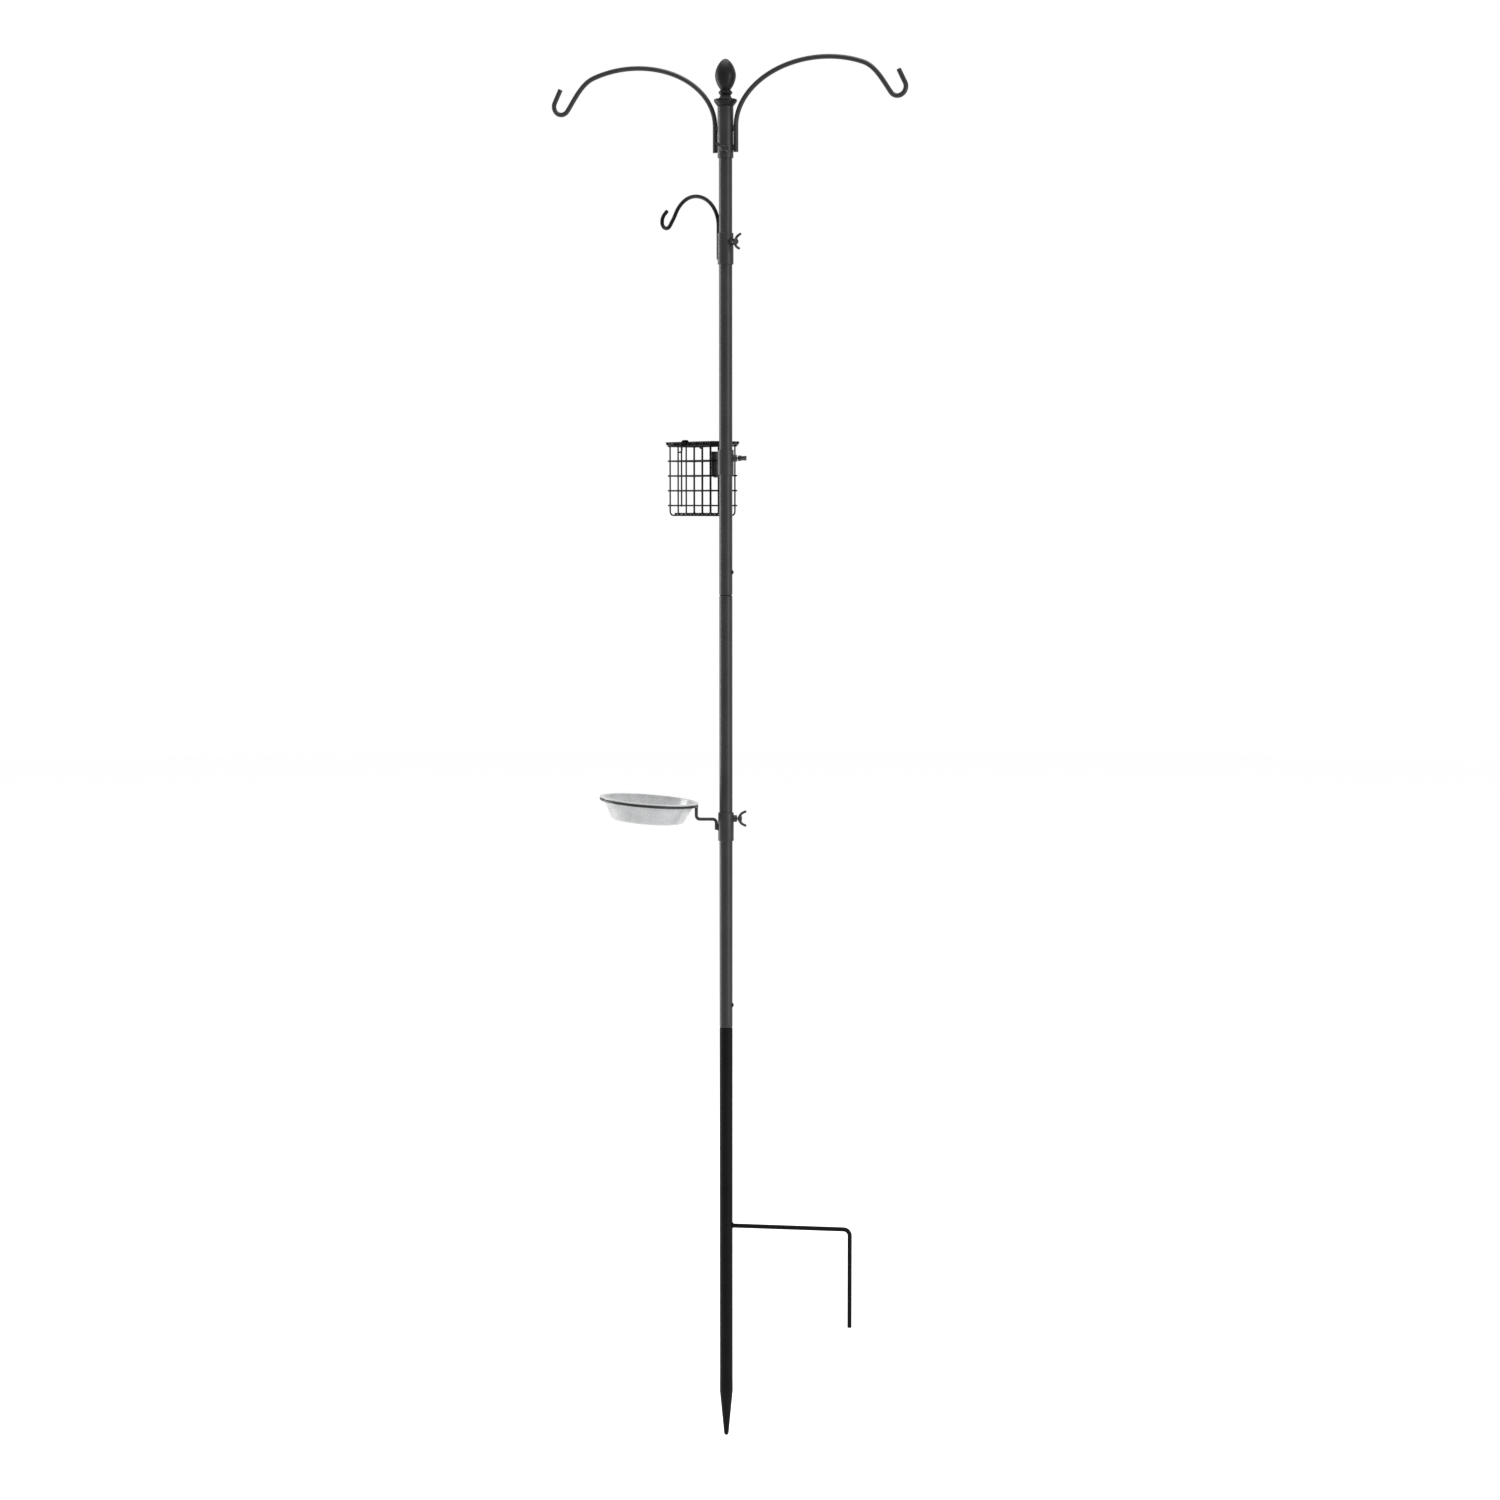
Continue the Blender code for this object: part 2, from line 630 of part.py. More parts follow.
def egg_profile(centre, upper_steps, lower_steps):
    """A pointed oval from under its tip to the neck: a superellipse with its own height up and down."""
    power = 2 / EGG_POWER
    end = acos((FINIAL_NECK[0][0] / EGG_RADIUS) ** (1 / power))
    upper = [pi / 2 * (1 - i / upper_steps) for i in range(1, upper_steps + 1)]
    lower = [end * i / lower_steps for i in range(1, lower_steps + 1)]
    points = [(EGG_RADIUS * cos(t) ** power, centre + EGG_UPPER * sin(t) ** power) for t in upper]
    points += [(EGG_RADIUS * cos(t) ** power, centre - EGG_LOWER * sin(t) ** power) for t in lower]
    return points


def finial(parent):
    centre = FINIAL_SEAT_Z + EGG_CENTRE
    neck = [(out, FINIAL_SEAT_Z + up) for out, up in FINIAL_NECK[1:]]
    plug = [
        (FINIAL_PLUG_RADIUS, FINIAL_SEAT_Z),
        (FINIAL_PLUG_RADIUS, FINIAL_SEAT_Z - FINIAL_PLUG + 0.001),
        (FINIAL_PLUG_RADIUS - 0.001, FINIAL_SEAT_Z - FINIAL_PLUG),
        (0, FINIAL_SEAT_Z - FINIAL_PLUG),
    ]
    profile = [(0, centre + EGG_UPPER), *egg_profile(centre, 6, 4), *neck, *plug]
    turned("finial", profile, "charcoal", parent)


def arm_unit(screw_mesh):
    unit = pivot("arm_unit", rotation=(0, 0, ARM_YAW))
    clamp("arm", ARM_SLEEVE_Z, unit, ARM_SCREW_YAW, ARM_SCREW_Z, ARM_SCREW_SPIN, screw_mesh)
    arm("right_arm", 1, unit)
    arm("left_arm", -1, unit)
    finial(unit)


# ---------------------------------------------------------------- small hook


def hook_unit(screw_mesh):
    unit = pivot("hook_unit", rotation=(0, 0, HOOK_YAW))
    clamp("hook", HOOK_SLEEVE_Z, unit, pi, HOOK_SCREW_Z, HOOK_SCREW_SPIN, screw_mesh)
    apex, rise = HOOK_ARCH_TOP
    inner = arc((apex, HOOK_SPRING_Z), (apex - HOOK_ROOT, rise), 180, 90, 7)
    outer = arc((apex, HOOK_SPRING_Z), (HOOK_ARCH_OUTER, rise), 90, HOOK_ARCH_END, 5)[1:]
    out, up = HOOK_CURL_CENTRE
    curl = arc((out, up), HOOK_CURL_RADIUS, HOOK_CURL_START, 0, 8)
    curl += arc((out + HOOK_CURL_RADIUS - HOOK_TIP_RADIUS, up), HOOK_TIP_RADIUS, 0, HOOK_TIP_TURN, 4)[1:]
    turn = radians(HOOK_TIP_TURN)
    curl.append((curl[-1][0] - sin(turn) * HOOK_TIP_LENGTH, curl[-1][1] + cos(turn) * HOOK_TIP_LENGTH))
    leave = radians(HOOK_ARCH_END)
    pull, push = HOOK_LINK
    fall = (HOOK_ARCH_OUTER * sin(leave) * pull, -rise * cos(leave) * pull)
    start = radians(HOOK_CURL_START)
    arrive = (-sin(start) * push, cos(start) * push)
    link = bridge(outer[-1], fall, curl[0], arrive, 4)
    route = [(HOOK_ROOT, HOOK_ROOT_Z), *inner, *outer, *link, *curl]
    proud, size = HOOK_BEAD
    beads = [((SLEEVE_RADIUS + proud, 0, z), size) for z in HOOK_BEAD_Z]
    points = upright_plane(route)
    welded_wire("small_hook", points, HOOK_WIRE_RADIUS, "charcoal", unit, beads, SLEEVE_RADIUS)


# ---------------------------------------------------------------- cage


def hook_strip(parent):
    """J-shaped strip: welded to the sleeve, down, round a bend and up inside the cage."""
    inner = CAGE_NEAR_Y - STRIP_BEND
    bottom = hoop_z(CAGE_HANGS_BY) - CAGE_WIRE_RADIUS - GAP - STRIP_THICKNESS / 2
    bend = arc((CAGE_NEAR_Y, bottom + STRIP_BEND), STRIP_BEND, 180, 360, 10)
    top = CAGE_SLEEVE_Z[1] - STRIP_BELOW_SLEEVE_TOP
    path = [(inner, top), *bend, (CAGE_NEAR_Y + STRIP_BEND, STRIP_TIP_Z)]
    outline = strip_outline(path, STRIP_THICKNESS)
    turn = pivot("hook_strip_axis", rotation=(0, 0, pi / 2), parent=parent)
    plate("hook_strip", outline, STRIP_WIDTH, "charcoal", turn)


def hoop_z(number):
    return CAGE_RIM_Z - number * CAGE_PITCH


def basket(parent):
    near, far = CAGE_NEAR_Y, CAGE_NEAR_Y + CAGE_LENGTH
    left, right = CAGE_X
    for number in range(CAGE_HOOPS):
        z = hoop_z(number)
        corners = [(left, near, z), (right, near, z), (right, far, z), (left, far, z)]
        loop = rounded(corners, CAGE_CORNER, 3, closed=True)
        wire(f"basket_hoop_{number + 1}", loop, CAGE_WIRE_RADIUS, "black", parent, closed=True)
    inside_left = left + WIRE_PITCH
    inside_right = right - WIRE_PITCH
    top = CAGE_RIM_Z + WIRE_END - CAGE_WIRE_RADIUS
    first = near + CAGE_UPRIGHT_INSET
    step = (CAGE_LENGTH - 2 * CAGE_UPRIGHT_INSET) / (CAGE_UPRIGHTS - 1)
    for number in range(CAGE_UPRIGHTS):
        y = first + number * step
        corners = [
            (inside_left, y, top),
            (inside_left, y, CAGE_BOTTOM_Z),
            (inside_right, y, CAGE_BOTTOM_Z),
            (inside_right, y, top),
        ]
        loop = rounded(corners, CAGE_BOTTOM_BEND, 5)
        wire(f"basket_u_wire_{number + 1}", loop, CAGE_WIRE_RADIUS, "black", parent)
    last = first + (CAGE_UPRIGHTS - 1) * step
    floor = CAGE_BOTTOM_Z + WIRE_PITCH
    for number, share in enumerate(CAGE_LONG_WIRES):
        x = left + share * (right - left)
        points = [(x, first - WIRE_END, floor), (x, last + WIRE_END, floor)]
        wire(f"basket_long_wire_{number + 1}", points, CAGE_WIRE_RADIUS, "black", parent)
    middle = (left + right) / 2
    low = hoop_z(CAGE_HOOPS - 1) - WIRE_END
    for where, y in (("near", near + WIRE_PITCH), ("far", far - WIRE_PITCH)):
        points = [(middle, y, top), (middle, y, low)]
        wire(f"basket_{where}_end_wire", points, CAGE_WIRE_RADIUS, "black", parent)


def lid(parent):
    """Cross wires lie on the rim and the frame on them; two of them curl round the far rim as hinges."""
    left, right = CAGE_X
    hinge = pivot("lid_hinge", (right, 0, CAGE_RIM_Z), parent=parent)
    width = right - left
    near = CAGE_NEAR_Y - LID_OVERHANG
    far = CAGE_NEAR_Y + CAGE_LENGTH + LID_OVERHANG
    frame_z = 2 * WIRE_PITCH
    corners = [(-width, near, frame_z), (0, near, frame_z), (0, far, frame_z), (-width, far, frame_z)]
    loop = rounded(corners, LID_CORNER, 3, closed=True)
    wire("lid_frame", loop, CAGE_WIRE_RADIUS, "black", hinge, closed=True)
    middle = [(-width / 2, near + WIRE_PITCH, frame_z), (-width / 2, far - WIRE_PITCH, frame_z)]
    wire("lid_long_wire", middle, CAGE_WIRE_RADIUS, "black", hinge)
    first = near + LID_CROSS_INSET
    step = (far - near - 2 * LID_CROSS_INSET) / (LID_CROSS_WIRES - 1)
    for number in range(LID_CROSS_WIRES):
        y = first + number * step
        route = [(-width - WIRE_END, WIRE_PITCH), (WIRE_END, WIRE_PITCH)]
        if number in LID_HINGE_WIRES:
            route = [route[0], *arc((0, 0), WIRE_PITCH, *LID_HINGE_CURL, 12)]
        points = [(x, y, z) for x, z in route]
        wire(f"lid_cross_wire_{number + 1}", points, CAGE_WIRE_RADIUS, "black", hinge)
    lid_latch(hinge, -width, frame_z)


def lid_latch(parent, x, z):
    """A coil round the lid's front wire; its tail hangs outside the rim and ends in a thumb curl."""
    mean = CAGE_WIRE_RADIUS + 2 * GAP + LATCH_WIRE_RADIUS
    pitch = 2 * LATCH_WIRE_RADIUS + GAP
    steps = 8
    points = []
    for i in range(LATCH_COIL_TURNS * steps + 1):
        turn = pi + 2 * pi * (i / steps - LATCH_COIL_TURNS)
        points.append((mean * cos(turn), pitch * (i / steps - LATCH_COIL_TURNS / 2), mean * sin(turn)))
    end_y = points[-1][1]
    curl = arc((-mean - LATCH_CURL_RADIUS, -LATCH_TAIL), LATCH_CURL_RADIUS, 0, LATCH_CURL_TURN, 6)
    points += [(out, end_y, up) for out, up in curl]
    y = CAGE_NEAR_Y + LATCH_FROM_NEAR_END
    wire("lid_latch", points, LATCH_WIRE_RADIUS, "black", parent, location=(x, y, z))


def cage_unit(screw_mesh):
    unit = pivot("cage_unit", rotation=(0, 0, CAGE_YAW))
    clamp("cage", CAGE_SLEEVE_Z, unit, CAGE_SCREW_YAW, CAGE_SCREW_Z, CAGE_SCREW_SPIN, screw_mesh)
    hook_strip(unit)
    basket(unit)
    lid(unit)


# ---------------------------------------------------------------- dish


def dish_ring(parent):
    bpy.ops.mesh.primitive_torus_add(
        major_radius=RING_RADIUS, minor_radius=RING_WIRE_RADIUS, major_segments=40, minor_segments=8
    )
    made = bpy.context.object
    mesh = made.data
    bpy.data.objects.remove(made, do_unlink=True)
    mesh.shade_smooth()
    place("dish_ring", mesh, "charcoal", parent)


def dish(parent):
    """The lip rests on the ring; the wall slopes in to a flat floor."""
    seat = RING_WIRE_RADIUS + GAP
    top = seat + DISH_LIP_THICKNESS
    floor = -DISH_DEPTH
    bend = DISH_FLOOR_BEND
    mouth_edge, rim_edge = DISH_LIP_EDGES
    inner_floor = DISH_FLOOR_RADIUS - DISH_WALL
    inner_bend = arc((inner_floor - bend, floor + DISH_WALL + bend), bend, -90, -DISH_WALL_SLOPE, 3)
    outer_bend = arc((DISH_FLOOR_RADIUS - bend, floor + bend), bend, -DISH_WALL_SLOPE, -90, 3)
    profile = [
        (0, floor + DISH_WALL),
        *inner_bend,
        (DISH_MOUTH_RADIUS - DISH_WALL, top - mouth_edge),
        (DISH_MOUTH_RADIUS - DISH_WALL + mouth_edge, top),
        (DISH_LIP_RADIUS - rim_edge, top),
        (DISH_LIP_RADIUS, top - rim_edge),
        (DISH_LIP_RADIUS, seat),
        (DISH_MOUTH_RADIUS, seat),
        *outer_bend,
        (0, floor),
    ]
    turned("dish", profile, "clear", parent, steps=40)


def dish_unit(screw_mesh):
    unit = pivot("dish_unit", rotation=(0, 0, DISH_YAW))
    clamp("dish", DISH_SLEEVE_Z, unit, pi, DISH_SCREW_Z, DISH_SCREW_SPIN, screw_mesh)
    corners = [
        (CRANK_ROOT, 0, CRANK_ROOT_Z),
        (CRANK_ROOT, 0, CRANK_RUN_Z),
        (CRANK_REACH, 0, CRANK_RUN_Z),
        (CRANK_REACH, 0, CRANK_TOP_Z),
    ]
    out, size = CRANK_BEAD
    beads = [((SLEEVE_RADIUS + out, 0, CRANK_BEAD_Z), size)]
    route = rounded(corners, CRANK_BEND, 5)
    welded_wire("dish_arm", route, CRANK_RADIUS, "charcoal", unit, beads, SLEEVE_RADIUS)
    edge = pivot("dish_ring_edge", (RING_INNER_EDGE, 0, RING_EDGE_Z), (0, -DISH_TILT, 0), unit)
    centre = pivot("dish_centre", (RING_RADIUS, 0, 0), parent=edge)
    dish_ring(centre)
    dish(centre)


clear_scene()
PARTS = new_collection("bird_feeder")
CUTTERS = new_collection("cutters")
upper_pole()
middle_pole()
lower_pole()
snap_button("upper", UPPER_SEAM_Z)
snap_button("lower", LOWER_SEAM_Z)
foot_bar()
SCREW_MESH = wing_screw_mesh()
arm_unit(SCREW_MESH)
hook_unit(SCREW_MESH)
cage_unit(SCREW_MESH)
dish_unit(SCREW_MESH)
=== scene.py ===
"""The looks of the bird feeder pole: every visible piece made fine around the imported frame, lit and framed.

Metres, in the frame's own axes. A unit that hangs on the pole is drawn in its own plane, X out from the pole
and Z up, and then turned about the pole's axis by its yaw, which comes from the axes of the frame's joints.
Profiles are tables of corners, each (radius, height above the piece's own base, rounding of the corner).
"""

import json
from math import acos, atan2, cos, hypot, pi, radians, sin, sqrt, tan

import bmesh
import bpy
from mathutils import Matrix, Vector, noise


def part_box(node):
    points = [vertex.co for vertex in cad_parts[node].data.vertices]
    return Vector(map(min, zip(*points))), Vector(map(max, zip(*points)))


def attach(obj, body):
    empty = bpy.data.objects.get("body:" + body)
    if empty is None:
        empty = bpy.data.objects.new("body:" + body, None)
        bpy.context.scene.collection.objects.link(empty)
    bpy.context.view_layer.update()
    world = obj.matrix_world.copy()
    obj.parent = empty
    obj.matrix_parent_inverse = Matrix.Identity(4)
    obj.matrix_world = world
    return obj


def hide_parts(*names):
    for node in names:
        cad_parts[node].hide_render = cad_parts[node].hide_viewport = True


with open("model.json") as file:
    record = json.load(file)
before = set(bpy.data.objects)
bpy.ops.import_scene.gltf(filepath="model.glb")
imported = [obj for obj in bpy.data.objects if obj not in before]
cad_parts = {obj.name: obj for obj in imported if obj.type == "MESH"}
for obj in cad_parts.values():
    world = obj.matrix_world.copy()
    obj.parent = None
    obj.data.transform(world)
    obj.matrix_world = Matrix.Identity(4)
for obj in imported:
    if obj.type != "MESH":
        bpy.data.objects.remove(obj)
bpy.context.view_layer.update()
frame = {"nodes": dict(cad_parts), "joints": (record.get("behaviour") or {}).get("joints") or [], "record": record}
JOINTS = {joint["name"]: joint for joint in frame["joints"]}
BODY_OF = {node: body for body, nodes in frame["record"]["behaviour"]["bodies"].items() for node in nodes}

# All pieces
GAP = 0.0003  # between neighbours
TUBE_SIDES = 72
WIRE_SIDES = 24
ROD_EDGE = 0.0005  # rounding of a thick wire's sheared ends

# Weld fillets: how they swell along their length
FILLET_SIDES = 10
FILLET_PROUD = 0.15  # centre above the tube, as a share of its thickness
FILLET_END = 0.35  # size at an end, as a share of its full size
FILLET_TAPER = 6.0
FILLET_RIPPLE = 0.09
FILLET_RIPPLE_TURN = 1.9  # radians from one step to the next
FILLET_UNEVEN = 0.08
FILLET_NOISE_SCALE = 1500

# Weld beads
BEAD_UNEVEN = 0.10
BEAD_NOISE_SCALE = 1.7
BEAD_NOISE_SHIFT = 900  # so that no two beads are alike
BEAD_PUDDLES = 4
BEAD_RIPPLE = 0.05

# Pole
POLE_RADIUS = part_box("upper_pole")[1].x
POLE_BORE = 0.0098
SPIGOT_RADIUS = 0.0095
SPIGOT_BORE = 0.0083
SPIGOT_LENGTH = 0.070
POLE_TOP_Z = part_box("upper_pole")[1].z
UPPER_SEAM_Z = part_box("upper_pole")[0].z - GAP
LOWER_SEAM_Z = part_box("middle_pole")[0].z - GAP
TUBE_EDGE = 0.0004
TUBE_LIP = 0.0007  # the lower outer edge, which meets the next section's shoulder
TUBE_LIP_DEPTH = 0.0100
SPIGOT_CORNERS = (  # from inside the tube to its outer wall, above the seam
    (POLE_BORE, -0.0100, 0),
    (SPIGOT_BORE, -0.0040, 0.0030),
    (SPIGOT_BORE, SPIGOT_LENGTH, 0.0003),
    (SPIGOT_RADIUS, SPIGOT_LENGTH, 0.0006),
    (SPIGOT_RADIUS, -0.0002, 0.0006),
    (POLE_RADIUS, -0.0014, 0.0022),
    (POLE_RADIUS, -0.0100, 0),
)
SPIKE_TIP_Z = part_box("lower_pole")[0].z
SPIKE_INSIDE = ((0, 0.0570, 0), (POLE_BORE * 0.7, 0.0630, 0), (POLE_BORE, 0.0830, 0))
SPIKE_OUTSIDE = (
    (POLE_RADIUS, 0.0970, 0),
    (POLE_RADIUS + 0.0002, 0.0770, 0.0500),
    (POLE_RADIUS - 0.0014, 0.0610, 0.0800),
    (0.0040, 0.0032, 0.0022),
    (0.0022, 0.0000, 0.0022),
    (0.0000, 0.0000, 0),
)
BUTTON_ABOVE_SEAM = 0.038
BUTTON_RADIUS = 0.0039
BUTTON_DOME = 0.0030
BUTTON_HOLE_RADIUS = 0.0044
BUTTON_HOLE_REACH = (0.004, POLE_RADIUS + 0.002)
BUTTON_TIP_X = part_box("upper_snap_button")[1].x
BUTTON_LEG_X = 0.0064
BUTTON_LEG_SIZE = (0.0008, 0.0060, 0.0290)
BUTTON_LEG_DROP = 0.0092  # its middle, below the button's axis
BUTTON_LEG_EDGE = 0.0002
FOOT_RADIUS = 0.0037
FOOT_BEND = 0.0105
FOOT_SINK = 0.0012  # how deep the bar's end sits in the tube's wall
FOOT_WELD_THICKNESS = 0.0013
FOOT_WELD_OUT = 0.0004  # its centre, past the bar's surface
FOOT_WELD_TURN = (-85, 265)  # degrees round the bar

# Clamps
SLEEVE_RADIUS = 0.0131
SLEEVE_BORE = 0.0114
SLEEVE_EDGE = 0.0009
SLEEVE_INNER_EDGE = 0.0004
SCREW_HOLE_RADIUS = 0.0031
SCREW_HOLE_REACH = (0.005, 0.030)
NUT_RADIUS = 0.0059  # to its corners
NUT_OUTER_X = 0.0186
NUT_INNER_X = SLEEVE_BORE + 0.0006
NUT_SADDLE_RADIUS = SLEEVE_RADIUS - GAP
NUT_SADDLE_HALF = 0.020  # half the length of the cutter that makes the saddle
NUT_CHAMFER = (0.86, 0.0011)  # where it starts, as a share of the nut's radius, and how deep it goes
NUT_MOUTH = (0.0009, 0.0008)  # the countersink: how much wider than the bore, and how deep
NUT_WELDS = ((-55, 55), (125, 235))  # degrees round the nut
NUT_WELD_THICKNESS = 0.0009
CUT_PAST = 0.0001  # how far a cutter passes the face that it cuts
SHANK_RADIUS = 0.0027
SHANK_POINT = (0.0006, 0.0005)  # the length of its turned-down end, and how much thinner that is
SHANK_SINK = 0.0010  # how far it goes on inside the hub
THREAD_PITCH = 0.0008
THREAD_DEPTH = 0.00042
THREAD_SHARPNESS = 0.8
THREAD_SIDES = 28
THREAD_RINGS = 10  # in each turn
HUB_RADIUS = 0.0046
HUB_X = (0.0200, 0.0268)
HUB_EDGES = (0.0018, 0.0007)  # outer, inner
WING_RADIUS = 0.0021
WING_SIDES = 20
WING_SIZES = (1.18, 0.96)  # at the root and near the tip, as shares of the radius
WING_TIP_SIZE = 0.86
WING_ROUTE = ((0.0225, 0.0), (0.0232, 0.0036), (0.0250, 0.0070), (0.0280, 0.0096), (0.0340, 0.0124))
MELT_GRAIN = 0.00024
MELT_SMOOTHING = 0.5
MELT_PASSES = 7
SPINS = {"arm": radians(56), "hook": radians(-8), "cage": radians(82), "dish": 0.0}
PLANE_FROM_SCREW = {"arm": radians(74), "hook": -pi, "cage": radians(37), "dish": -pi}

# Arms and small hook
ARM_RADIUS = 0.0039
ARM_ROOT = (0.0187, 1.791)
ARM_SPRING_Z = 1.833
ARM_ARCH = (0.151, 0.103)
ARM_ARCH_END = 62  # degrees above the ellipse's horizontal axis, on its outer side
ARM_HOOK_CENTRE = (0.3005, 1.8810)
ARM_HOOK_RADIUS = 0.0140
ARM_HOOK = (-144, 27)  # degrees, from the link round to the tip
ARM_LINK = (0.50, 0.070)  # how strongly the link leaves the arch and arrives at the hook
ARM_TIP_LENGTH = 0.024
ARM_BEAD_Z = (1.7985, 1.8300)
ARM_BEAD_OUT = 0.0012  # its centre, past the sleeve
ARM_BEAD = (0.0032, 0.0036, 0.0048)
HOOK_RADIUS = 0.0032
HOOK_ROOT = (0.0168, 1.6180)
HOOK_SPRING_Z = 1.672
HOOK_ARCH_TOP = (0.0750, 0.0530)
HOOK_ARCH_OUTER = 0.052
HOOK_ARCH_END = 30
HOOK_CURL_CENTRE = (0.1415, 1.6880)
HOOK_CURL_RADIUS = 0.0110
HOOK_CURL_START = -142
HOOK_TIP_RADIUS = 0.0160
HOOK_TIP_TURN = 52
HOOK_TIP_LENGTH = 0.0080
HOOK_LINK = (0.35, 0.018)  # as ARM_LINK
HOOK_BEAD_Z = (1.6250, 1.6480)
HOOK_BEAD_OUT = 0.0004
HOOK_BEAD = (0.0024, 0.0034, 0.0044)

# Finial
FINIAL_SEAT_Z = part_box("arm_sleeve")[1].z + GAP
EGG_RADIUS = 0.0173
EGG_CENTRE = 0.0490
EGG_UPPER = 0.0272
EGG_LOWER = 0.0275
EGG_POWER = 1.7
EGG_STEPS = 24
FINIAL_SIDES = 80
FINIAL_CORNERS = (  # neck, ring, flange and the plug inside the sleeve, from the egg down
    (0.0080, 0.0262, 0.0010),
    (0.0120, 0.0216, 0.0016),
    (0.0086, 0.0168, 0.0010),
    (0.0098, 0.0140, 0.0030),
    (0.0120, 0.0109, 0.0010),
    (0.0189, 0.0106, 0.0010),
    (0.0189, 0.0068, 0.0012),
    (0.0137, 0.0000, 0.0004),
    (0.0110, 0.0000, 0),
    (0.0110, -0.0150, 0.0010),
    (0.0000, -0.0150, 0),
)

# Cage
STRIP_THICKNESS = 0.0020
STRIP_WIDTH = 0.0140
STRIP_EDGE = 0.0006
STRIP_BEND = 0.0076
STRIP_TIP_Z = 1.3030
STRIP_BELOW_SLEEVE_TOP = 0.0040
STRIP_BEADS = (0.0060, 0.0220)  # below the strip's top
STRIP_BEAD_X = 0.0052
STRIP_BEAD_IN = 0.0016  # its centre, from the strip's middle toward the pole
STRIP_BEAD = (0.0018, 0.0017, 0.0050)
STRIP_BEAD_RIPPLE = 0.06
WIRE_RADIUS = 0.0013
WIRE_PITCH = 0.0029  # wires that lie on each other
WIRE_END = 0.0021
WIRE_EDGE = 0.00025
CAGE_WIRE_SIDES = 16
SPOT_RADIUS = 0.00172
CAGE_NEAR_Y = 0.0220
CAGE_LENGTH = 0.124
CAGE_X = (-0.014, 0.042)
CAGE_CORNER = 0.0050
CAGE_RIM_Z = JOINTS["lid_open"]["pos_m"][2]
CAGE_PITCH = 0.0249
CAGE_HOOPS = 5
CAGE_HANGS_BY = 2
CAGE_BOTTOM_Z = 1.1970
CAGE_BOTTOM_BEND = 0.0065
CAGE_UPRIGHTS = 6
CAGE_UPRIGHT_INSET = 0.0045
CAGE_LONG_WIRES = (0.26, 0.76)
LID_OVERHANG = 0.0050
LID_CORNER = 0.0040
LID_CROSS_INSET = 0.0060
LID_CROSS_WIRES = 7
LID_HINGE_WIRES = (1, 5)
LID_HINGE_TURN = (90, -170)  # degrees round the rim
LATCH_WIRE_RADIUS = 0.0012
LATCH_CLEARANCE = 0.0006
LATCH_COIL_TURNS = 4
LATCH_COIL_STEPS = 28  # in each turn
LATCH_FROM_NEAR_END = 0.072
LATCH_TAIL = 0.0120
LATCH_CURL_RADIUS = 0.0045
LATCH_CURL_TURN = -130

# Dish
CRANK_RADIUS = 0.0027
CRANK_ROUTE = ((0.0161, 0.6730), (0.0161, 0.6908), (0.0495, 0.6908), (0.0495, 0.7112))
CRANK_BEND = 0.0062
CRANK_SLEEVE_BEAD_PLACE = (SLEEVE_RADIUS + 0.0002, 0, 0.6770)
CRANK_SLEEVE_BEAD = (0.0022, 0.0032, 0.0056)
CRANK_RING_BEAD_PLACE = (CRANK_ROUTE[3][0] - 0.0004, 0, CRANK_ROUTE[3][1] + 0.0004)
CRANK_RING_BEAD = (0.0030, 0.0033, 0.0016)
RING_RADIUS = 0.0805
RING_WIRE_RADIUS = 0.0022
RING_WIRE_SIDES = 20
RING_INNER_EDGE = (0.0483, 0.7137)
RING_STEPS = 120
DISH_SEAT = RING_WIRE_RADIUS + GAP
DISH_TOP = DISH_SEAT + 0.0022
DISH_FLOOR = -0.0330
DISH_WALL = 0.0020
DISH_LIP_RADIUS = 0.0824
DISH_MOUTH_RADIUS = 0.0776
DISH_FLOOR_RADIUS = 0.0590
DISH_CORNERS = (  # above the ring's middle, from the inside of the floor over the lip to its underside
    (0, DISH_FLOOR + DISH_WALL, 0),
    (DISH_FLOOR_RADIUS - DISH_WALL, DISH_FLOOR + DISH_WALL, 0.0080),
    (DISH_MOUTH_RADIUS - DISH_WALL, DISH_TOP, 0.0012),
    (DISH_LIP_RADIUS, DISH_TOP, 0.0010),
    (DISH_LIP_RADIUS, DISH_SEAT, 0.0007),
    (DISH_MOUTH_RADIUS, DISH_SEAT, 0.0006),
    (DISH_FLOOR_RADIUS, DISH_FLOOR, 0.0090),
    (0, DISH_FLOOR, 0),
)
DISH_SIDES = 144

# Camera: how far off it stands, its height, and the point that it looks at, beside the pole's axis
CAMERA_AZIMUTH = radians(8.6)
CAMERA_DISTANCE = 4.9
CAMERA_HEIGHT = 1.214
LOOK_BESIDE = 0.0402
LOOK_Z = 0.8068
VIEW_HEIGHT = 2.495
SENSOR_WIDTH = 36

# Stage
FLOOR_RADIUS = 14
FLOOR_SIDES = 128
FLOOR_BELOW_TIP = 0.001
PAPER = (0.985, 0.985, 0.985)
PAPER_ROUGHNESS = 0.9
LIT_POINT = (0, 0, 0.8)
SIDE_LIGHTS = (  # name, degrees to the right of the camera, size, watts
    ("right_box", 50, (0.8, 3.2), 70),
    ("left_box", -115, (1.0, 3.2), 90),
)
SIDE_LIGHT_DISTANCE = 3.0
SIDE_LIGHT_HEIGHT = 1.1
TOP_LIGHT_HEIGHT = 4.6
TOP_LIGHT_SIZE = (3.0, 3.0)
TOP_LIGHT_POWER = 120

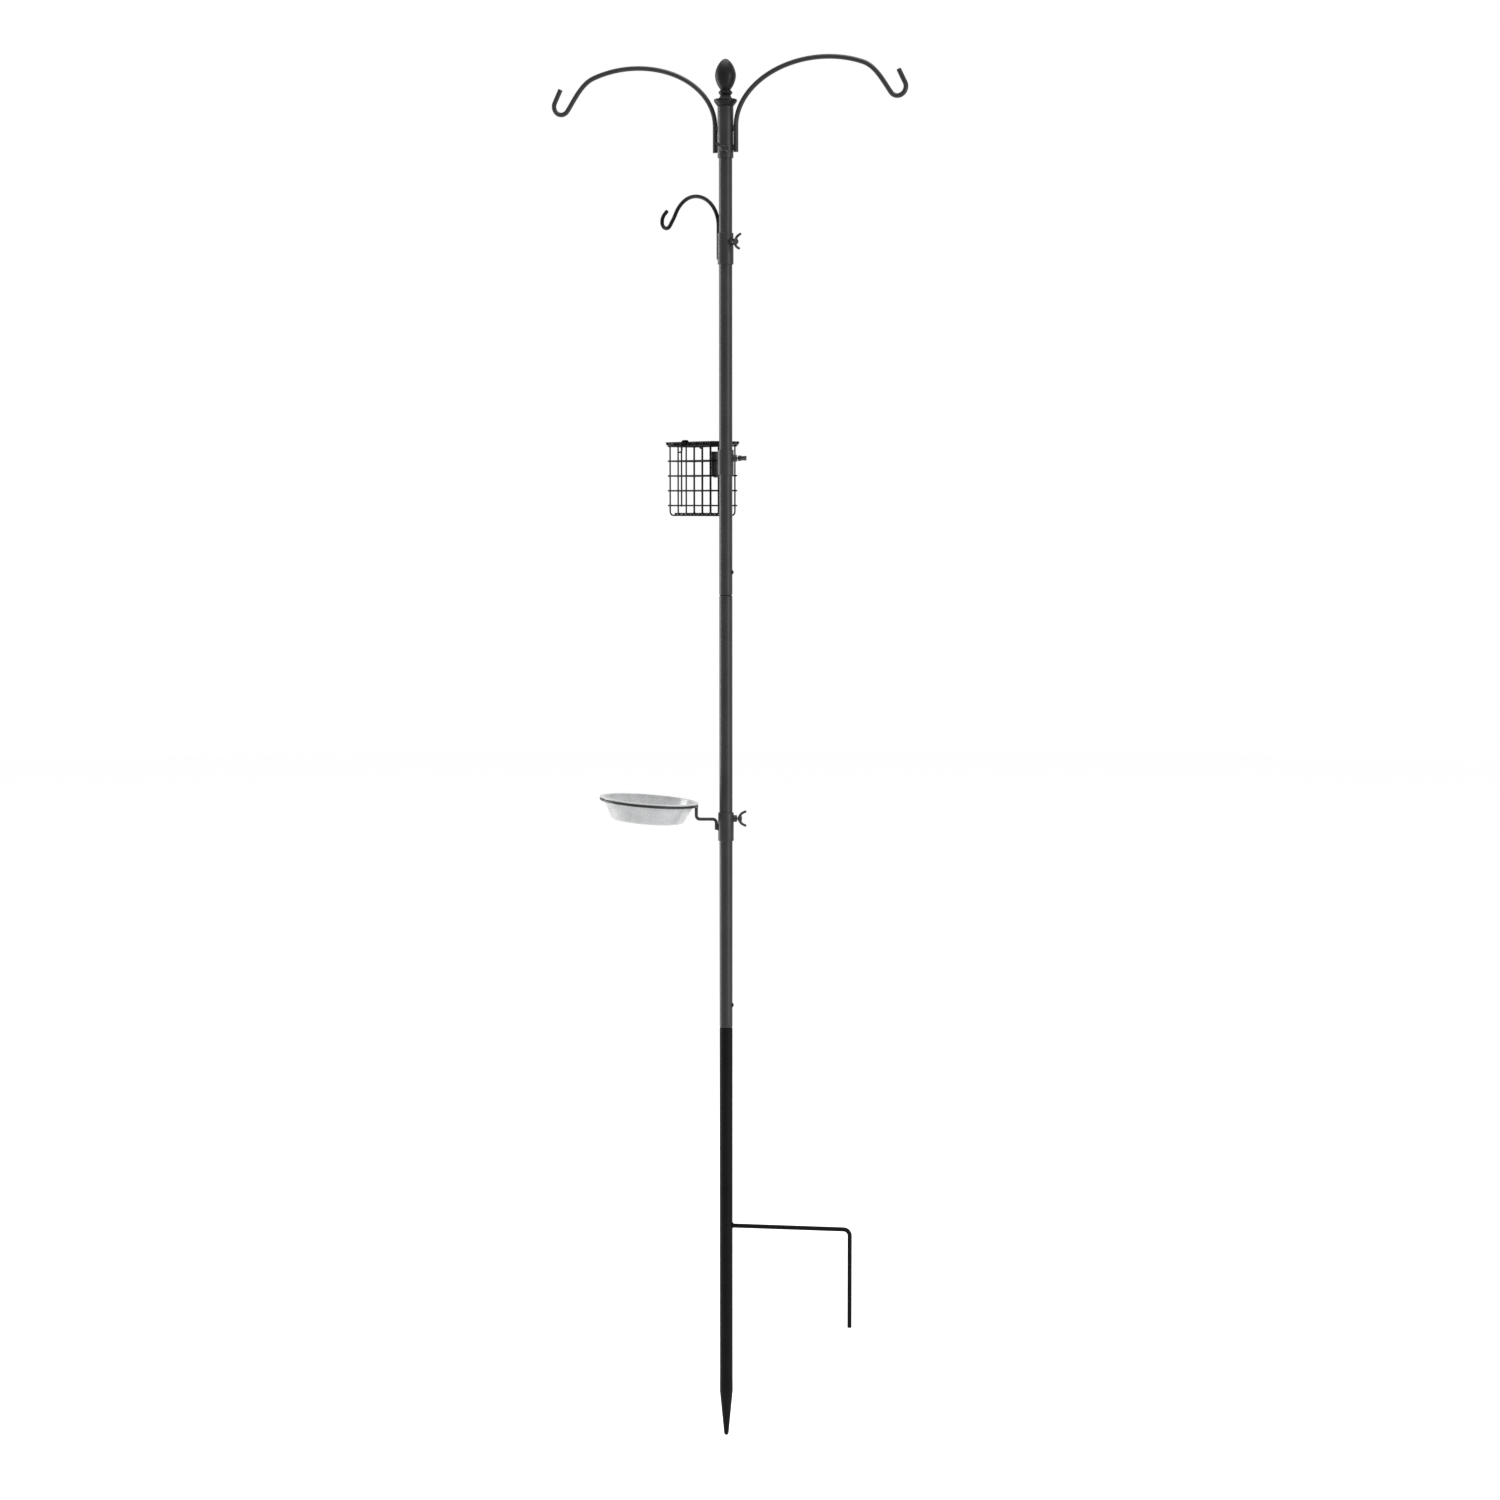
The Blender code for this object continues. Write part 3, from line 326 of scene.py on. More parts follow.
# Finishes: noise scales are in waves a metre
CLOUD_SCALE = 23.0
SWELL_SCALE = 320.0
SWELL_DEPTH = 2.2  # against the pebbles' own depth
PEBBLE_SCALE = 2600.0
PEBBLE_DEPTH = 0.00003
COAT_ROUGHNESS_SPREAD = (-0.05, 0.06)
SPANGLE_SCALE = 420.0
SPANGLE_DARK = (0.36, 0.37, 0.39)
SPANGLE_LIGHT = (0.56, 0.57, 0.59)
ZINC_ROUGHNESS = (0.24, 0.42)
SCRATCH_SCALE = 3800.0
SCRATCH_DEPTH = 0.00001
FLOW_SCALE = 36.0
FLOW_DEPTH = 0.0006
HAZE_SCALE = 900.0
HAZE_DEPTH = 0.000006
PLASTIC_DARK = (0.40, 0.405, 0.41)
PLASTIC_LIGHT = (0.47, 0.475, 0.48)
PLASTIC_ROUGHNESS = (0.16, 0.30)
PLASTIC_TRANSMISSION = 0.40
PLASTIC_IOR = 1.46


# ---------------------------------------------------------------- finishes


def node(tree, kind, place=(0, 0), **values):
    """A shader node with its inputs set, by name; an underscore in a name stands for a space."""
    made = tree.nodes.new(kind)
    made.location = place
    for name, value in values.items():
        made.inputs[name.replace("_", " ")].default_value = value
    return made


def new_finish(name):
    finish = bpy.data.materials.new(name)
    finish.use_nodes = True
    tree = finish.node_tree
    shader = tree.nodes["Principled BSDF"]
    where = node(tree, "ShaderNodeTexCoord", (-1100, 0)).outputs["Object"]
    return finish, tree, shader, where


def speckle(tree, where, scale, detail):
    made = node(tree, "ShaderNodeTexNoise", (-900, 0), Scale=scale, Detail=detail, Roughness=0.55)
    tree.links.new(where, made.inputs["Vector"])
    return made.outputs["Fac"]


def span_of(tree, value, low, high):
    """A noise value carried from its usual span to the one wanted."""
    made = node(tree, "ShaderNodeMapRange", (-700, 0), From_Min=0.3, From_Max=0.7, To_Min=low, To_Max=high)
    tree.links.new(value, made.inputs["Value"])
    return made.outputs["Result"]


def colours(tree, value, first, second):
    ramp = tree.nodes.new("ShaderNodeValToRGB")
    for stop, place, colour in zip(ramp.color_ramp.elements, (0.35, 0.65), (first, second)):
        stop.position = place
        stop.color = (*colour, 1)
    tree.links.new(value, ramp.inputs["Fac"])
    return ramp.outputs["Color"]


def relief(tree, shader, heights):
    """Bumps one over the other, from (value, depth in metres)."""
    normal = None
    for value, depth in heights:
        bump = node(tree, "ShaderNodeBump", (-300, -300), Strength=1.0, Distance=depth)
        tree.links.new(value, bump.inputs["Height"])
        if normal:
            tree.links.new(normal, bump.inputs["Normal"])
        normal = bump.outputs["Normal"]
    tree.links.new(normal, shader.inputs["Normal"])


def powder_coat(name, dark, light, roughness, grain, shine):
    """Satin powder coat: the pebbled skin of melted powder, over a slow unevenness of shade and surface."""
    finish, tree, shader, where = new_finish(name)
    cloud = speckle(tree, where, CLOUD_SCALE, 4.0)
    pebble = speckle(tree, where, grain, 2.0)
    swell = speckle(tree, where, SWELL_SCALE, 2.0)
    low, high = (roughness + spread for spread in COAT_ROUGHNESS_SPREAD)
    tree.links.new(colours(tree, cloud, dark, light), shader.inputs["Base Color"])
    tree.links.new(span_of(tree, swell, low, high), shader.inputs["Roughness"])
    shader.inputs["Specular IOR Level"].default_value = shine
    relief(tree, shader, [(swell, PEBBLE_DEPTH * SWELL_DEPTH), (pebble, PEBBLE_DEPTH)])
    return finish


def zinc(name):
    """Zinc plate: bright, faintly spangled and brushed."""
    finish, tree, shader, where = new_finish(name)
    spangle = speckle(tree, where, SPANGLE_SCALE, 2.0)
    scratch = speckle(tree, where, SCRATCH_SCALE, 2.0)
    tree.links.new(colours(tree, spangle, SPANGLE_DARK, SPANGLE_LIGHT), shader.inputs["Base Color"])
    tree.links.new(span_of(tree, spangle, *ZINC_ROUGHNESS), shader.inputs["Roughness"])
    shader.inputs["Metallic"].default_value = 1.0
    relief(tree, shader, [(scratch, SCRATCH_DEPTH)])
    return finish


def clear_plastic(name):
    """Moulded clear plastic gone a little cloudy, with faint flow marks and handling haze."""
    finish, tree, shader, where = new_finish(name)
    flow = speckle(tree, where, FLOW_SCALE, 3.0)
    haze = speckle(tree, where, HAZE_SCALE, 3.0)
    tree.links.new(colours(tree, flow, PLASTIC_DARK, PLASTIC_LIGHT), shader.inputs["Base Color"])
    tree.links.new(span_of(tree, haze, *PLASTIC_ROUGHNESS), shader.inputs["Roughness"])
    shader.inputs["Transmission Weight"].default_value = PLASTIC_TRANSMISSION
    shader.inputs["IOR"].default_value = PLASTIC_IOR
    relief(tree, shader, [(flow, FLOW_DEPTH), (haze, HAZE_DEPTH)])
    return finish


COATS = {  # dark, light, roughness, pebble scale, specular level
    "charcoal_coat": ((0.0055, 0.0055, 0.0060), (0.0100, 0.0100, 0.0107), 0.44, PEBBLE_SCALE, 0.30),
    "black_coat": ((0.0012, 0.0012, 0.0012), (0.0026, 0.0026, 0.0028), 0.50, PEBBLE_SCALE, 0.07),
    "cage_coat": ((0.0008, 0.0008, 0.0008), (0.0018, 0.0018, 0.0020), 0.50, 1500.0, 0.05),
    "hook_coat": ((0.0010, 0.0010, 0.0010), (0.0020, 0.0020, 0.0022), 0.34, 1900.0, 0.10),
    "finial_coat": ((0.0022, 0.0022, 0.0024), (0.0040, 0.0040, 0.0044), 0.38, PEBBLE_SCALE, 0.14),
}
FINISHES = {name: powder_coat(name, *look) for name, look in COATS.items()}
FINISHES["zinc_steel"] = zinc("zinc_steel")
FINISHES["clear_plastic"] = clear_plastic("clear_plastic")


# ---------------------------------------------------------------- curves in a plane and in space


def arc(centre, radius, start, end, steps):
    """Points of an arc in the plane, angles in degrees; a pair of radii gives an ellipse's arc."""
    across, up = radius if isinstance(radius, tuple) else (radius, radius)
    turns = [radians(start + (end - start) * i / steps) for i in range(steps + 1)]
    return [(centre[0] + across * cos(t), centre[1] + up * sin(t)) for t in turns]


def bridge(start, start_way, end, end_way, steps):
    """Inner points of a smooth curve between two points, leaving and arriving along the given ways."""
    points = []
    for i in range(1, steps):
        t = i / steps
        a = 2 * t**3 - 3 * t**2 + 1
        b = t**3 - 2 * t**2 + t
        c = -2 * t**3 + 3 * t**2
        d = t**3 - t**2
        points.append(tuple(a * start[k] + b * start_way[k] + c * end[k] + d * end_way[k] for k in (0, 1)))
    return points


def hooked(arch, size, arch_end, hook, hook_start, link, steps):
    """An arch and its hook, and between them a link that follows on smoothly from both."""
    across, rise = size
    pull, push = link
    leave, start = radians(arch_end), radians(hook_start)
    fall = (across * sin(leave) * pull, -rise * cos(leave) * pull)
    arrive = (-sin(start) * push, cos(start) * push)
    return [*arch, *bridge(arch[-1], fall, hook[0], arrive, steps), *hook]


def tipped(curve, turn, length):
    """The curve, run on straight from its end, where it has come round to the turn's angle in degrees."""
    out, up = curve[-1]
    end = radians(turn)
    return [*curve, (out - sin(end) * length, up + cos(end) * length)]


def rounded(corners, radii, steps=8, closed=False):
    """The polyline through the corners with each bend made an arc, of one radius or of each corner's own."""
    corners = [Vector(corner) for corner in corners]
    if not isinstance(radii, (list, tuple)):
        radii = [radii] * len(corners)
    points = []
    for i, (corner, radius) in enumerate(zip(corners, radii)):
        if radius == 0 or (not closed and i in (0, len(corners) - 1)):
            points.append(corner)
            continue
        back = (corners[i - 1] - corner).normalized()
        on = (corners[(i + 1) % len(corners)] - corner).normalized()
        half = back.angle(on) / 2
        centre = corner + (back + on).normalized() * radius / sin(half)
        first = corner + back * radius / tan(half) - centre
        last = corner + on * radius / tan(half) - centre
        sweep_angle = pi - 2 * half
        for k in range(steps + 1):
            t = k / steps
            lean = (sin((1 - t) * sweep_angle) * first + sin(t * sweep_angle) * last) / sin(sweep_angle)
            points.append(centre + lean)
    return points


def profile_of(corners, base, steps):
    """A table of corners (radius, height, rounding) as a profile, its heights taken from the base."""
    places = [(out, base + up) for out, up, _ in corners]
    return rounded(places, [rounding for _, _, rounding in corners], steps)


def smooth_through(points, steps):
    """A Catmull-Rom curve through the points."""
    points = [Vector(point) for point in points]
    ends = [2 * points[0] - points[1], *points, 2 * points[-1] - points[-2]]
    made = []
    for before, here, there, after in zip(ends, ends[1:], ends[2:], ends[3:]):
        for k in range(steps):
            t = k / steps
            square = 2 * before - 5 * here + 4 * there - after
            cube = 3 * here - before - 3 * there + after
            made.append(here + ((there - before) * t + (square * t**2 + cube * t**3)) / 2)
    return [*made, points[-1]]


def upright(points, side=1):
    """Points (out, up) as points in a unit's XZ plane, on its +X or its -X side."""
    return [(side * out, 0, up) for out, up in points]


# ---------------------------------------------------------------- solids in bmesh


def skin(work, rings, closed_round=True, closed_along=False):
    """Quads between successive rings of vertices."""
    count = len(rings[0])
    pairs = list(zip(rings, rings[1:]))
    if closed_along:
        pairs.append((rings[-1], rings[0]))
    for first, second in pairs:
        for k in range(count if closed_round else count - 1):
            n = (k + 1) % count
            work.faces.new((first[k], first[n], second[n], second[k]))


def sweep(work, path, outline, sizes=None, closed=False):
    """Carries an outline of (side, up) points along a path; sizes scales it at each point."""
    path = [Vector(point) for point in path]
    sizes = sizes or [1.0] * len(path)
    count = len(path)
    ways = []
    for i in range(count):
        before = path[i - 1] if closed or i else path[i]
        after = path[(i + 1) % count] if closed or i < count - 1 else path[i]
        ways.append((after - before).normalized())
    up = Vector((0, 0, 1)) if abs(ways[0].z) < 0.9 else Vector((0, 1, 0))
    up = (up - ways[0] * up.dot(ways[0])).normalized()
    rings = []
    for i, (point, way, size) in enumerate(zip(path, ways, sizes)):
        if i:
            up = ways[i - 1].rotation_difference(way) @ up
            up = (up - way * up.dot(way)).normalized()
        side = way.cross(up)
        rings.append([work.verts.new(point + (side * a + up * b) * size) for a, b in outline])
    skin(work, rings, closed_along=closed)
    if not closed:
        work.faces.new(rings[0])
        work.faces.new(rings[-1])


def round_outline(radius, sides):
    return [(radius * cos(2 * pi * k / sides), radius * sin(2 * pi * k / sides)) for k in range(sides)]


def rod(work, path, radius, sides=WIRE_SIDES, closed=False, edge=ROD_EDGE):
    """A round wire; its sheared ends have softened edges."""
    path = [Vector(point) for point in path]
    if closed:
        sweep(work, path, round_outline(radius, sides), closed=True)
        return
    turns = (pi / 2, pi / 3, pi / 6, 0)
    backs = [edge * (1 - sin(turn)) for turn in turns]
    shares = [(radius - edge * (1 - cos(turn))) / radius for turn in turns]
    head = (path[1] - path[0]).normalized()
    tail = (path[-2] - path[-1]).normalized()
    points = [path[0] + head * back for back in backs] + path[1:-1]
    points += [path[-1] + tail * back for back in reversed(backs)]
    sizes = [*shares, *[1.0] * (len(path) - 2), *reversed(shares)]
    sweep(work, points, round_outline(radius, sides), sizes)


def lathe(work, profile, sides=64, closed=False):
    """A profile of (radius, height) turned about Z; a point at radius 0 is a single vertex."""
    rings = []
    for out, up in profile:
        places = [(0, 0, up)] if out == 0 else [(x, y, up) for x, y in round_outline(out, sides)]
        rings.append([work.verts.new(place) for place in places])
    pairs = list(zip(rings, rings[1:]))
    if closed:
        pairs.append((rings[-1], rings[0]))
    for first, second in pairs:
        for k in range(sides):
            n = (k + 1) % sides
            corners = [first[k % len(first)], first[n % len(first)]]
            corners += [second[n % len(second)], second[k % len(second)]]
            work.faces.new(list(dict.fromkeys(corners)))


def lump(work, centre, size, ripple=0.0, levels=3):
    """A weld bead: an uneven blob, ringed along its length by the puddles that made it."""
    centre, size = Vector(centre), Vector(size)
    for vert in bmesh.ops.create_icosphere(work, subdivisions=levels, radius=1)["verts"]:
        way = vert.co.copy()
        uneven = noise.noise((way + centre * BEAD_NOISE_SHIFT) * BEAD_NOISE_SCALE) * BEAD_UNEVEN
        rings = ripple * cos(way.z * BEAD_PUDDLES * pi) * (1 - abs(way.z))
        vert.co = centre + way * size * (1 + uneven + rings)


def ring_weld(work, tube_radius, reach, thickness, start, end, steps=40):
    """A fillet on a tube, round something that stands on it along +X, between two angles about that."""
    path = []
    sizes = []
    for i in range(steps + 1):
        turn = radians(start + (end - start) * i / steps)
        side = reach * cos(turn)
        path.append((sqrt(tube_radius**2 - side**2) + thickness * FILLET_PROUD, side, reach * sin(turn)))
        taper = min(1.0, (FILLET_END + FILLET_TAPER * min(i, steps - i) / steps))
        ripple = FILLET_RIPPLE * cos(i * FILLET_RIPPLE_TURN)
        uneven = FILLET_UNEVEN * noise.noise(Vector(path[-1]) * FILLET_NOISE_SCALE)
        sizes.append(taper * (1 + ripple + uneven))
    sweep(work, path, round_outline(thickness, FILLET_SIDES), sizes)


def box(work, centre, size, bevel):
    made = bmesh.ops.create_cube(work, size=1)["verts"]
    bmesh.ops.scale(work, verts=made, vec=size)
    bmesh.ops.translate(work, verts=made, vec=centre)
    edges = list({edge for vert in made for edge in vert.link_edges})
    bmesh.ops.bevel(work, geom=edges, offset=bevel, segments=3, affect="EDGES", profile=0.5)


def as_mesh(work, name, turn=None):
    """The mesh of what has been made, turned into place, with its faces pointing out."""
    bmesh.ops.recalc_face_normals(work, faces=work.faces)
    mesh = bpy.data.meshes.new(name)
    work.to_mesh(mesh)
    work.free()
    if turn:
        mesh.transform(turn)
    return mesh


def evaluated(name, mesh, modifiers):
    """The mesh after some modifiers, each (kind, settings)."""
    item = bpy.data.objects.new(name, mesh)
    bpy.context.scene.collection.objects.link(item)
    for kind, settings in modifiers:
        modifier = item.modifiers.new(kind, kind)
        for key, value in settings.items():
            setattr(modifier, key, value)
    bpy.context.view_layer.update()
    made = bpy.data.meshes.new_from_object(item.evaluated_get(bpy.context.evaluated_depsgraph_get()))
    bpy.data.objects.remove(item, do_unlink=True)
    return made


def combined(mesh, tool_mesh, operation):
    tool = bpy.data.objects.new("tool", tool_mesh)
    bpy.context.scene.collection.objects.link(tool)
    made = evaluated("cut", mesh, [("BOOLEAN", {"object": tool, "operation": operation})])
    bpy.data.objects.remove(tool, do_unlink=True)
    return made


def drilled(mesh, radius, reach, yaw, z, sides):
    """The mesh with a round hole through one wall, between two distances from the pole's axis."""
    near, far = reach
    work = bmesh.new()
    lathe(work, [(0, far), (radius, far), (radius, near), (0, near)], sides)
    return combined(mesh, as_mesh(work, "hole", onto_x(yaw, z)), "DIFFERENCE")


def piece(name, mesh, slot, *nodes, beside=None, finish=None, sharp=38):
    """A shown piece, on the body of the nodes that it replaces or of the node that it lies beside."""
    mesh.materials.clear()
    mesh.materials.append(FINISHES[finish or slot])
    mesh.shade_smooth()
    mesh.set_sharp_from_angle(angle=radians(sharp))
    item = bpy.data.objects.new(name, mesh)
    bpy.context.scene.collection.objects.link(item)
    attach(item, BODY_OF[nodes[0] if nodes else beside])
    if nodes:
        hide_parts(*nodes)


def turned_by(yaw):
    return Matrix.Rotation(yaw, 4, "Z")


def onto_x(yaw, z, spin=0.0):
    """Turns what was made along Z to lie along the yaw at height z, after a spin about itself."""
    place = Matrix.Translation((0, 0, z)) @ Matrix.Rotation(yaw, 4, "Z")
    return place @ Matrix.Rotation(spin, 4, "X") @ Matrix.Rotation(pi / 2, 4, "Y")


# ---------------------------------------------------------------- pole


def shoulder_and_spigot(seam):
    """Bore, spigot and rolled shoulder of the tube below a seam."""
    return profile_of(SPIGOT_CORNERS, seam, 8)


def tube(name, profile, slot, holes):
    """A section of the pole, drilled for its snap buttons; a profile clear of the axis closes on itself."""
    work = bmesh.new()
    lathe(work, profile, TUBE_SIDES, closed=profile[0][0] > 0)
    mesh = as_mesh(work, name)
    for z in holes:
        mesh = drilled(mesh, BUTTON_HOLE_RADIUS, BUTTON_HOLE_REACH, 0, z, 40)
    piece(name + "_tube", mesh, slot, name)


def pole():
    upper_hole = UPPER_SEAM_Z + BUTTON_ABOVE_SEAM
    lower_hole = LOWER_SEAM_Z + BUTTON_ABOVE_SEAM
    low = UPPER_SEAM_Z + GAP
    corners = [(POLE_BORE, POLE_TOP_Z), (POLE_RADIUS, POLE_TOP_Z), (POLE_RADIUS, low), (POLE_BORE, low)]
    profile = rounded(corners, [TUBE_EDGE, TUBE_EDGE, TUBE_LIP, TUBE_EDGE], 5, closed=True)
    tube("upper_pole", profile, "charcoal_coat", [upper_hole])
    low = LOWER_SEAM_Z + GAP
    high = low + TUBE_LIP_DEPTH
    corners = [(POLE_RADIUS, high), (POLE_RADIUS, low), (POLE_BORE, low), (POLE_BORE, high)]
    lip = rounded(corners, [0, TUBE_LIP, TUBE_EDGE, 0], 5)
    profile = [*shoulder_and_spigot(UPPER_SEAM_Z), *lip]
    tube("middle_pole", profile, "charcoal_coat", [upper_hole, lower_hole])
    profile = [
        *profile_of(SPIKE_INSIDE, SPIKE_TIP_Z, 1),
        *shoulder_and_spigot(LOWER_SEAM_Z),
        *profile_of(SPIKE_OUTSIDE, SPIKE_TIP_Z, 10),
    ]
    tube("lower_pole", profile, "black_coat", [lower_hole])
    foot()
    for where, z in (("upper", upper_hole), ("lower", lower_hole)):
        snap_button(where, z)
        spring = frame["nodes"][where + "_button_spring"].data
        spring.materials.clear()
        spring.materials.append(FINISHES["zinc_steel"])


def snap_button(where, z):
    work = bmesh.new()
    dome = arc((0, BUTTON_TIP_X - BUTTON_DOME), (BUTTON_RADIUS, BUTTON_DOME), 90, 0, 12)[1:]
    lathe(work, [(0, BUTTON_TIP_X), *dome, (BUTTON_RADIUS, BUTTON_LEG_X), (0, BUTTON_LEG_X)], 40)
    head = as_mesh(work, where + "_button", onto_x(0, z))
    piece(where + "_button_head", head, "charcoal_coat", where + "_snap_button", finish="hook_coat")
    work = bmesh.new()
    box(work, (BUTTON_LEG_X, 0, z - BUTTON_LEG_DROP), BUTTON_LEG_SIZE, BUTTON_LEG_EDGE)
    piece(where + "_button_leg", as_mesh(work, "leg"), "zinc_steel", beside=where + "_snap_button")


def foot():
    """The step-in bar, and the weld that holds it on the tube."""
    low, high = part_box("foot_bar")
    reach = high.x - FOOT_RADIUS
    corners = [(POLE_RADIUS - FOOT_SINK, 0, 0), (reach, 0, 0), (reach, 0, low.z)]
    work = bmesh.new()
    rod(work, rounded(corners, FOOT_BEND, 16), FOOT_RADIUS)
    piece("step_bar", as_mesh(work, "step_bar"), "black_coat", "foot_bar")
    work = bmesh.new()
    ring_weld(work, POLE_RADIUS, FOOT_RADIUS + FOOT_WELD_OUT, FOOT_WELD_THICKNESS, *FOOT_WELD_TURN, steps=96)
    piece("step_bar_weld", as_mesh(work, "step_bar_weld"), "black_coat", beside="foot_bar")


# ---------------------------------------------------------------- clamps


def screw_yaw(name):
    axis = JOINTS[name + "_screw_turn"]["axis"]
    return atan2(axis[1], axis[0])


def unit_turn(name):
    """Turns what was made in a unit's own plane to that plane's place round the pole."""
    return turned_by(screw_yaw(name) + PLANE_FROM_SCREW[name])


def sleeve(name, yaw, z):
    low, high = (corner.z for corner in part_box(name + "_sleeve"))
    corners = [(SLEEVE_BORE, high), (SLEEVE_RADIUS, high), (SLEEVE_RADIUS, low), (SLEEVE_BORE, low)]
    edges = [SLEEVE_INNER_EDGE, SLEEVE_EDGE, SLEEVE_EDGE, SLEEVE_INNER_EDGE]
    work = bmesh.new()
    lathe(work, rounded(corners, edges, 5, closed=True), TUBE_SIDES, closed=True)
    mesh = drilled(as_mesh(work, name), SCREW_HOLE_RADIUS, SCREW_HOLE_REACH, yaw, z, 32)
    piece(name + "_clamp_tube", mesh, "charcoal_coat", name + "_sleeve")


def weld_nut(name, yaw, z):
    """A hexagonal nut, chamfered at its outer corners, saddled on the sleeve inside a ring of weld."""
    work = bmesh.new()
    side = [(NUT_RADIUS, NUT_OUTER_X), (NUT_RADIUS, NUT_INNER_X)]
    lathe(work, [(0, NUT_OUTER_X), *side, (0, NUT_INNER_X)], 6)
    hexagon = as_mesh(work, "nut")
    share, depth = NUT_CHAMFER
    wide, inner = NUT_RADIUS + CUT_PAST, NUT_INNER_X - CUT_PAST
    work = bmesh.new()
    face = [(0, NUT_OUTER_X), (NUT_RADIUS * share, NUT_OUTER_X), (wide, NUT_OUTER_X - depth)]
    lathe(work, [*face, (wide, inner), (0, inner)], 64)
    nut = combined(hexagon, as_mesh(work, "chamfer"), "INTERSECT")
    near, far = SCREW_HOLE_REACH
    wider, depth = NUT_MOUTH
    bore, mouth = SCREW_HOLE_RADIUS, SCREW_HOLE_RADIUS + wider
    work = bmesh.new()
    countersink = [(0, far), (mouth, far), (mouth, NUT_OUTER_X + CUT_PAST), (bore, NUT_OUTER_X - depth)]
    lathe(work, [*countersink, (bore, near), (0, near)], 32)
    nut = combined(nut, as_mesh(work, "bore"), "DIFFERENCE")
    nut.transform(onto_x(yaw, z))
    low, high = z - NUT_SADDLE_HALF, z + NUT_SADDLE_HALF
    work = bmesh.new()
    lathe(work, [(0, high), (NUT_SADDLE_RADIUS, high), (NUT_SADDLE_RADIUS, low), (0, low)], TUBE_SIDES)
    nut = combined(nut, as_mesh(work, "core"), "DIFFERENCE")
    piece(name + "_clamp_nut", nut, "charcoal_coat", name + "_weld_nut", sharp=25)
    work = bmesh.new()
    for start, end in NUT_WELDS:
        ring_weld(work, SLEEVE_RADIUS, NUT_RADIUS - CUT_PAST, NUT_WELD_THICKNESS, start, end)
    mesh = as_mesh(work, "nut_weld", Matrix.Translation((0, 0, z)) @ turned_by(yaw))
    piece(name + "_nut_weld", mesh, "charcoal_coat", beside=name + "_weld_nut")


def wing_head_mesh():
    """The cast head, along +Z: hub and wings melted into one by a voxel skin, then smoothed."""
    low, high = HUB_X
    root_size, end_size = WING_SIZES
    work = bmesh.new()
    corners = [(0, high), (HUB_RADIUS, high), (HUB_RADIUS, low), (0, low)]
    lathe(work, rounded(corners, [0, *HUB_EDGES, 0], 6), 40)
    for side in (1, -1):
        route = smooth_through([(side * up, 0, out) for out, up in WING_ROUTE], 8)
        last = len(route) - 1
        sizes = [root_size - (root_size - end_size) * i / last for i in range(last)] + [WING_TIP_SIZE]
        sweep(work, route, round_outline(WING_RADIUS, WING_SIDES), sizes)
    melt = [
        ("REMESH", {"mode": "VOXEL", "voxel_size": MELT_GRAIN, "use_smooth_shade": True}),
        ("SMOOTH", {"factor": MELT_SMOOTHING, "iterations": MELT_PASSES}),
    ]
    return evaluated("wing_head", as_mesh(work, "wing_head"), melt)


def thread_mesh():
    """The shank along +Z, with its thread cut as one helix; it goes on inside the hub."""
    low, high = POLE_RADIUS + GAP, HUB_X[0] + SHANK_SINK
    steps = round((high - low) / THREAD_PITCH * THREAD_RINGS)
    point_length, point_narrowing = SHANK_POINT
    work = bmesh.new()
    rings = []
    for i in range(steps + 1):
        along = low + (high - low) * i / steps
        point = min(1.0, (along - low) / point_length)
        ring = []
        for k in range(THREAD_SIDES):
            phase = (along / THREAD_PITCH - k / THREAD_SIDES) % 1
            groove = THREAD_DEPTH * abs(2 * phase - 1) ** THREAD_SHARPNESS
            out = SHANK_RADIUS - groove - (1 - point) * point_narrowing
            turn = 2 * pi * k / THREAD_SIDES
            ring.append(work.verts.new((out * cos(turn), out * sin(turn), along)))
        rings.append(ring)
    skin(work, rings)
    work.faces.new(rings[0])
    work.faces.new(rings[-1])
    return as_mesh(work, "thread")


def clamp(name, head, thread):
    yaw, z = screw_yaw(name), JOINTS[name + "_screw_turn"]["pos_m"][2]
    sleeve(name, yaw, z)
    weld_nut(name, yaw, z)
    for what, mesh, slot, nodes in (
        ("head", head, "charcoal_coat", [name + "_wing_screw"]),
        ("thread", thread, "zinc_steel", []),
    ):
        mesh = mesh.copy()
        mesh.transform(onto_x(yaw, z, SPINS[name]))
        piece(f"{name}_wing_{what}", mesh, slot, *nodes, beside=name + "_wing_screw", sharp=60)


# ---------------------------------------------------------------- arms, finial, small hook


def arm_route():
    across, _ = ARM_ARCH
    arch = arc((ARM_ROOT[0] + across, ARM_SPRING_Z), ARM_ARCH, 180, ARM_ARCH_END, 60)
    start, end = ARM_HOOK
    hook = tipped(arc(ARM_HOOK_CENTRE, ARM_HOOK_RADIUS, start, end, 36), end, ARM_TIP_LENGTH)
    return [ARM_ROOT, *hooked(arch, ARM_ARCH, ARM_ARCH_END, hook, start, ARM_LINK, 30)]


def arms(turn):
    for name, side in (("right_arm", 1), ("left_arm", -1)):
        work = bmesh.new()
        rod(work, upright(arm_route(), side), ARM_RADIUS)
        piece(name + "_rod", as_mesh(work, name, turn), "charcoal_coat", name)
        work = bmesh.new()
        for z in ARM_BEAD_Z:
            lump(work, (side * (SLEEVE_RADIUS + ARM_BEAD_OUT), 0, z), ARM_BEAD, BEAD_RIPPLE)
        piece(name + "_welds", as_mesh(work, "welds", turn), "charcoal_coat", beside=name)


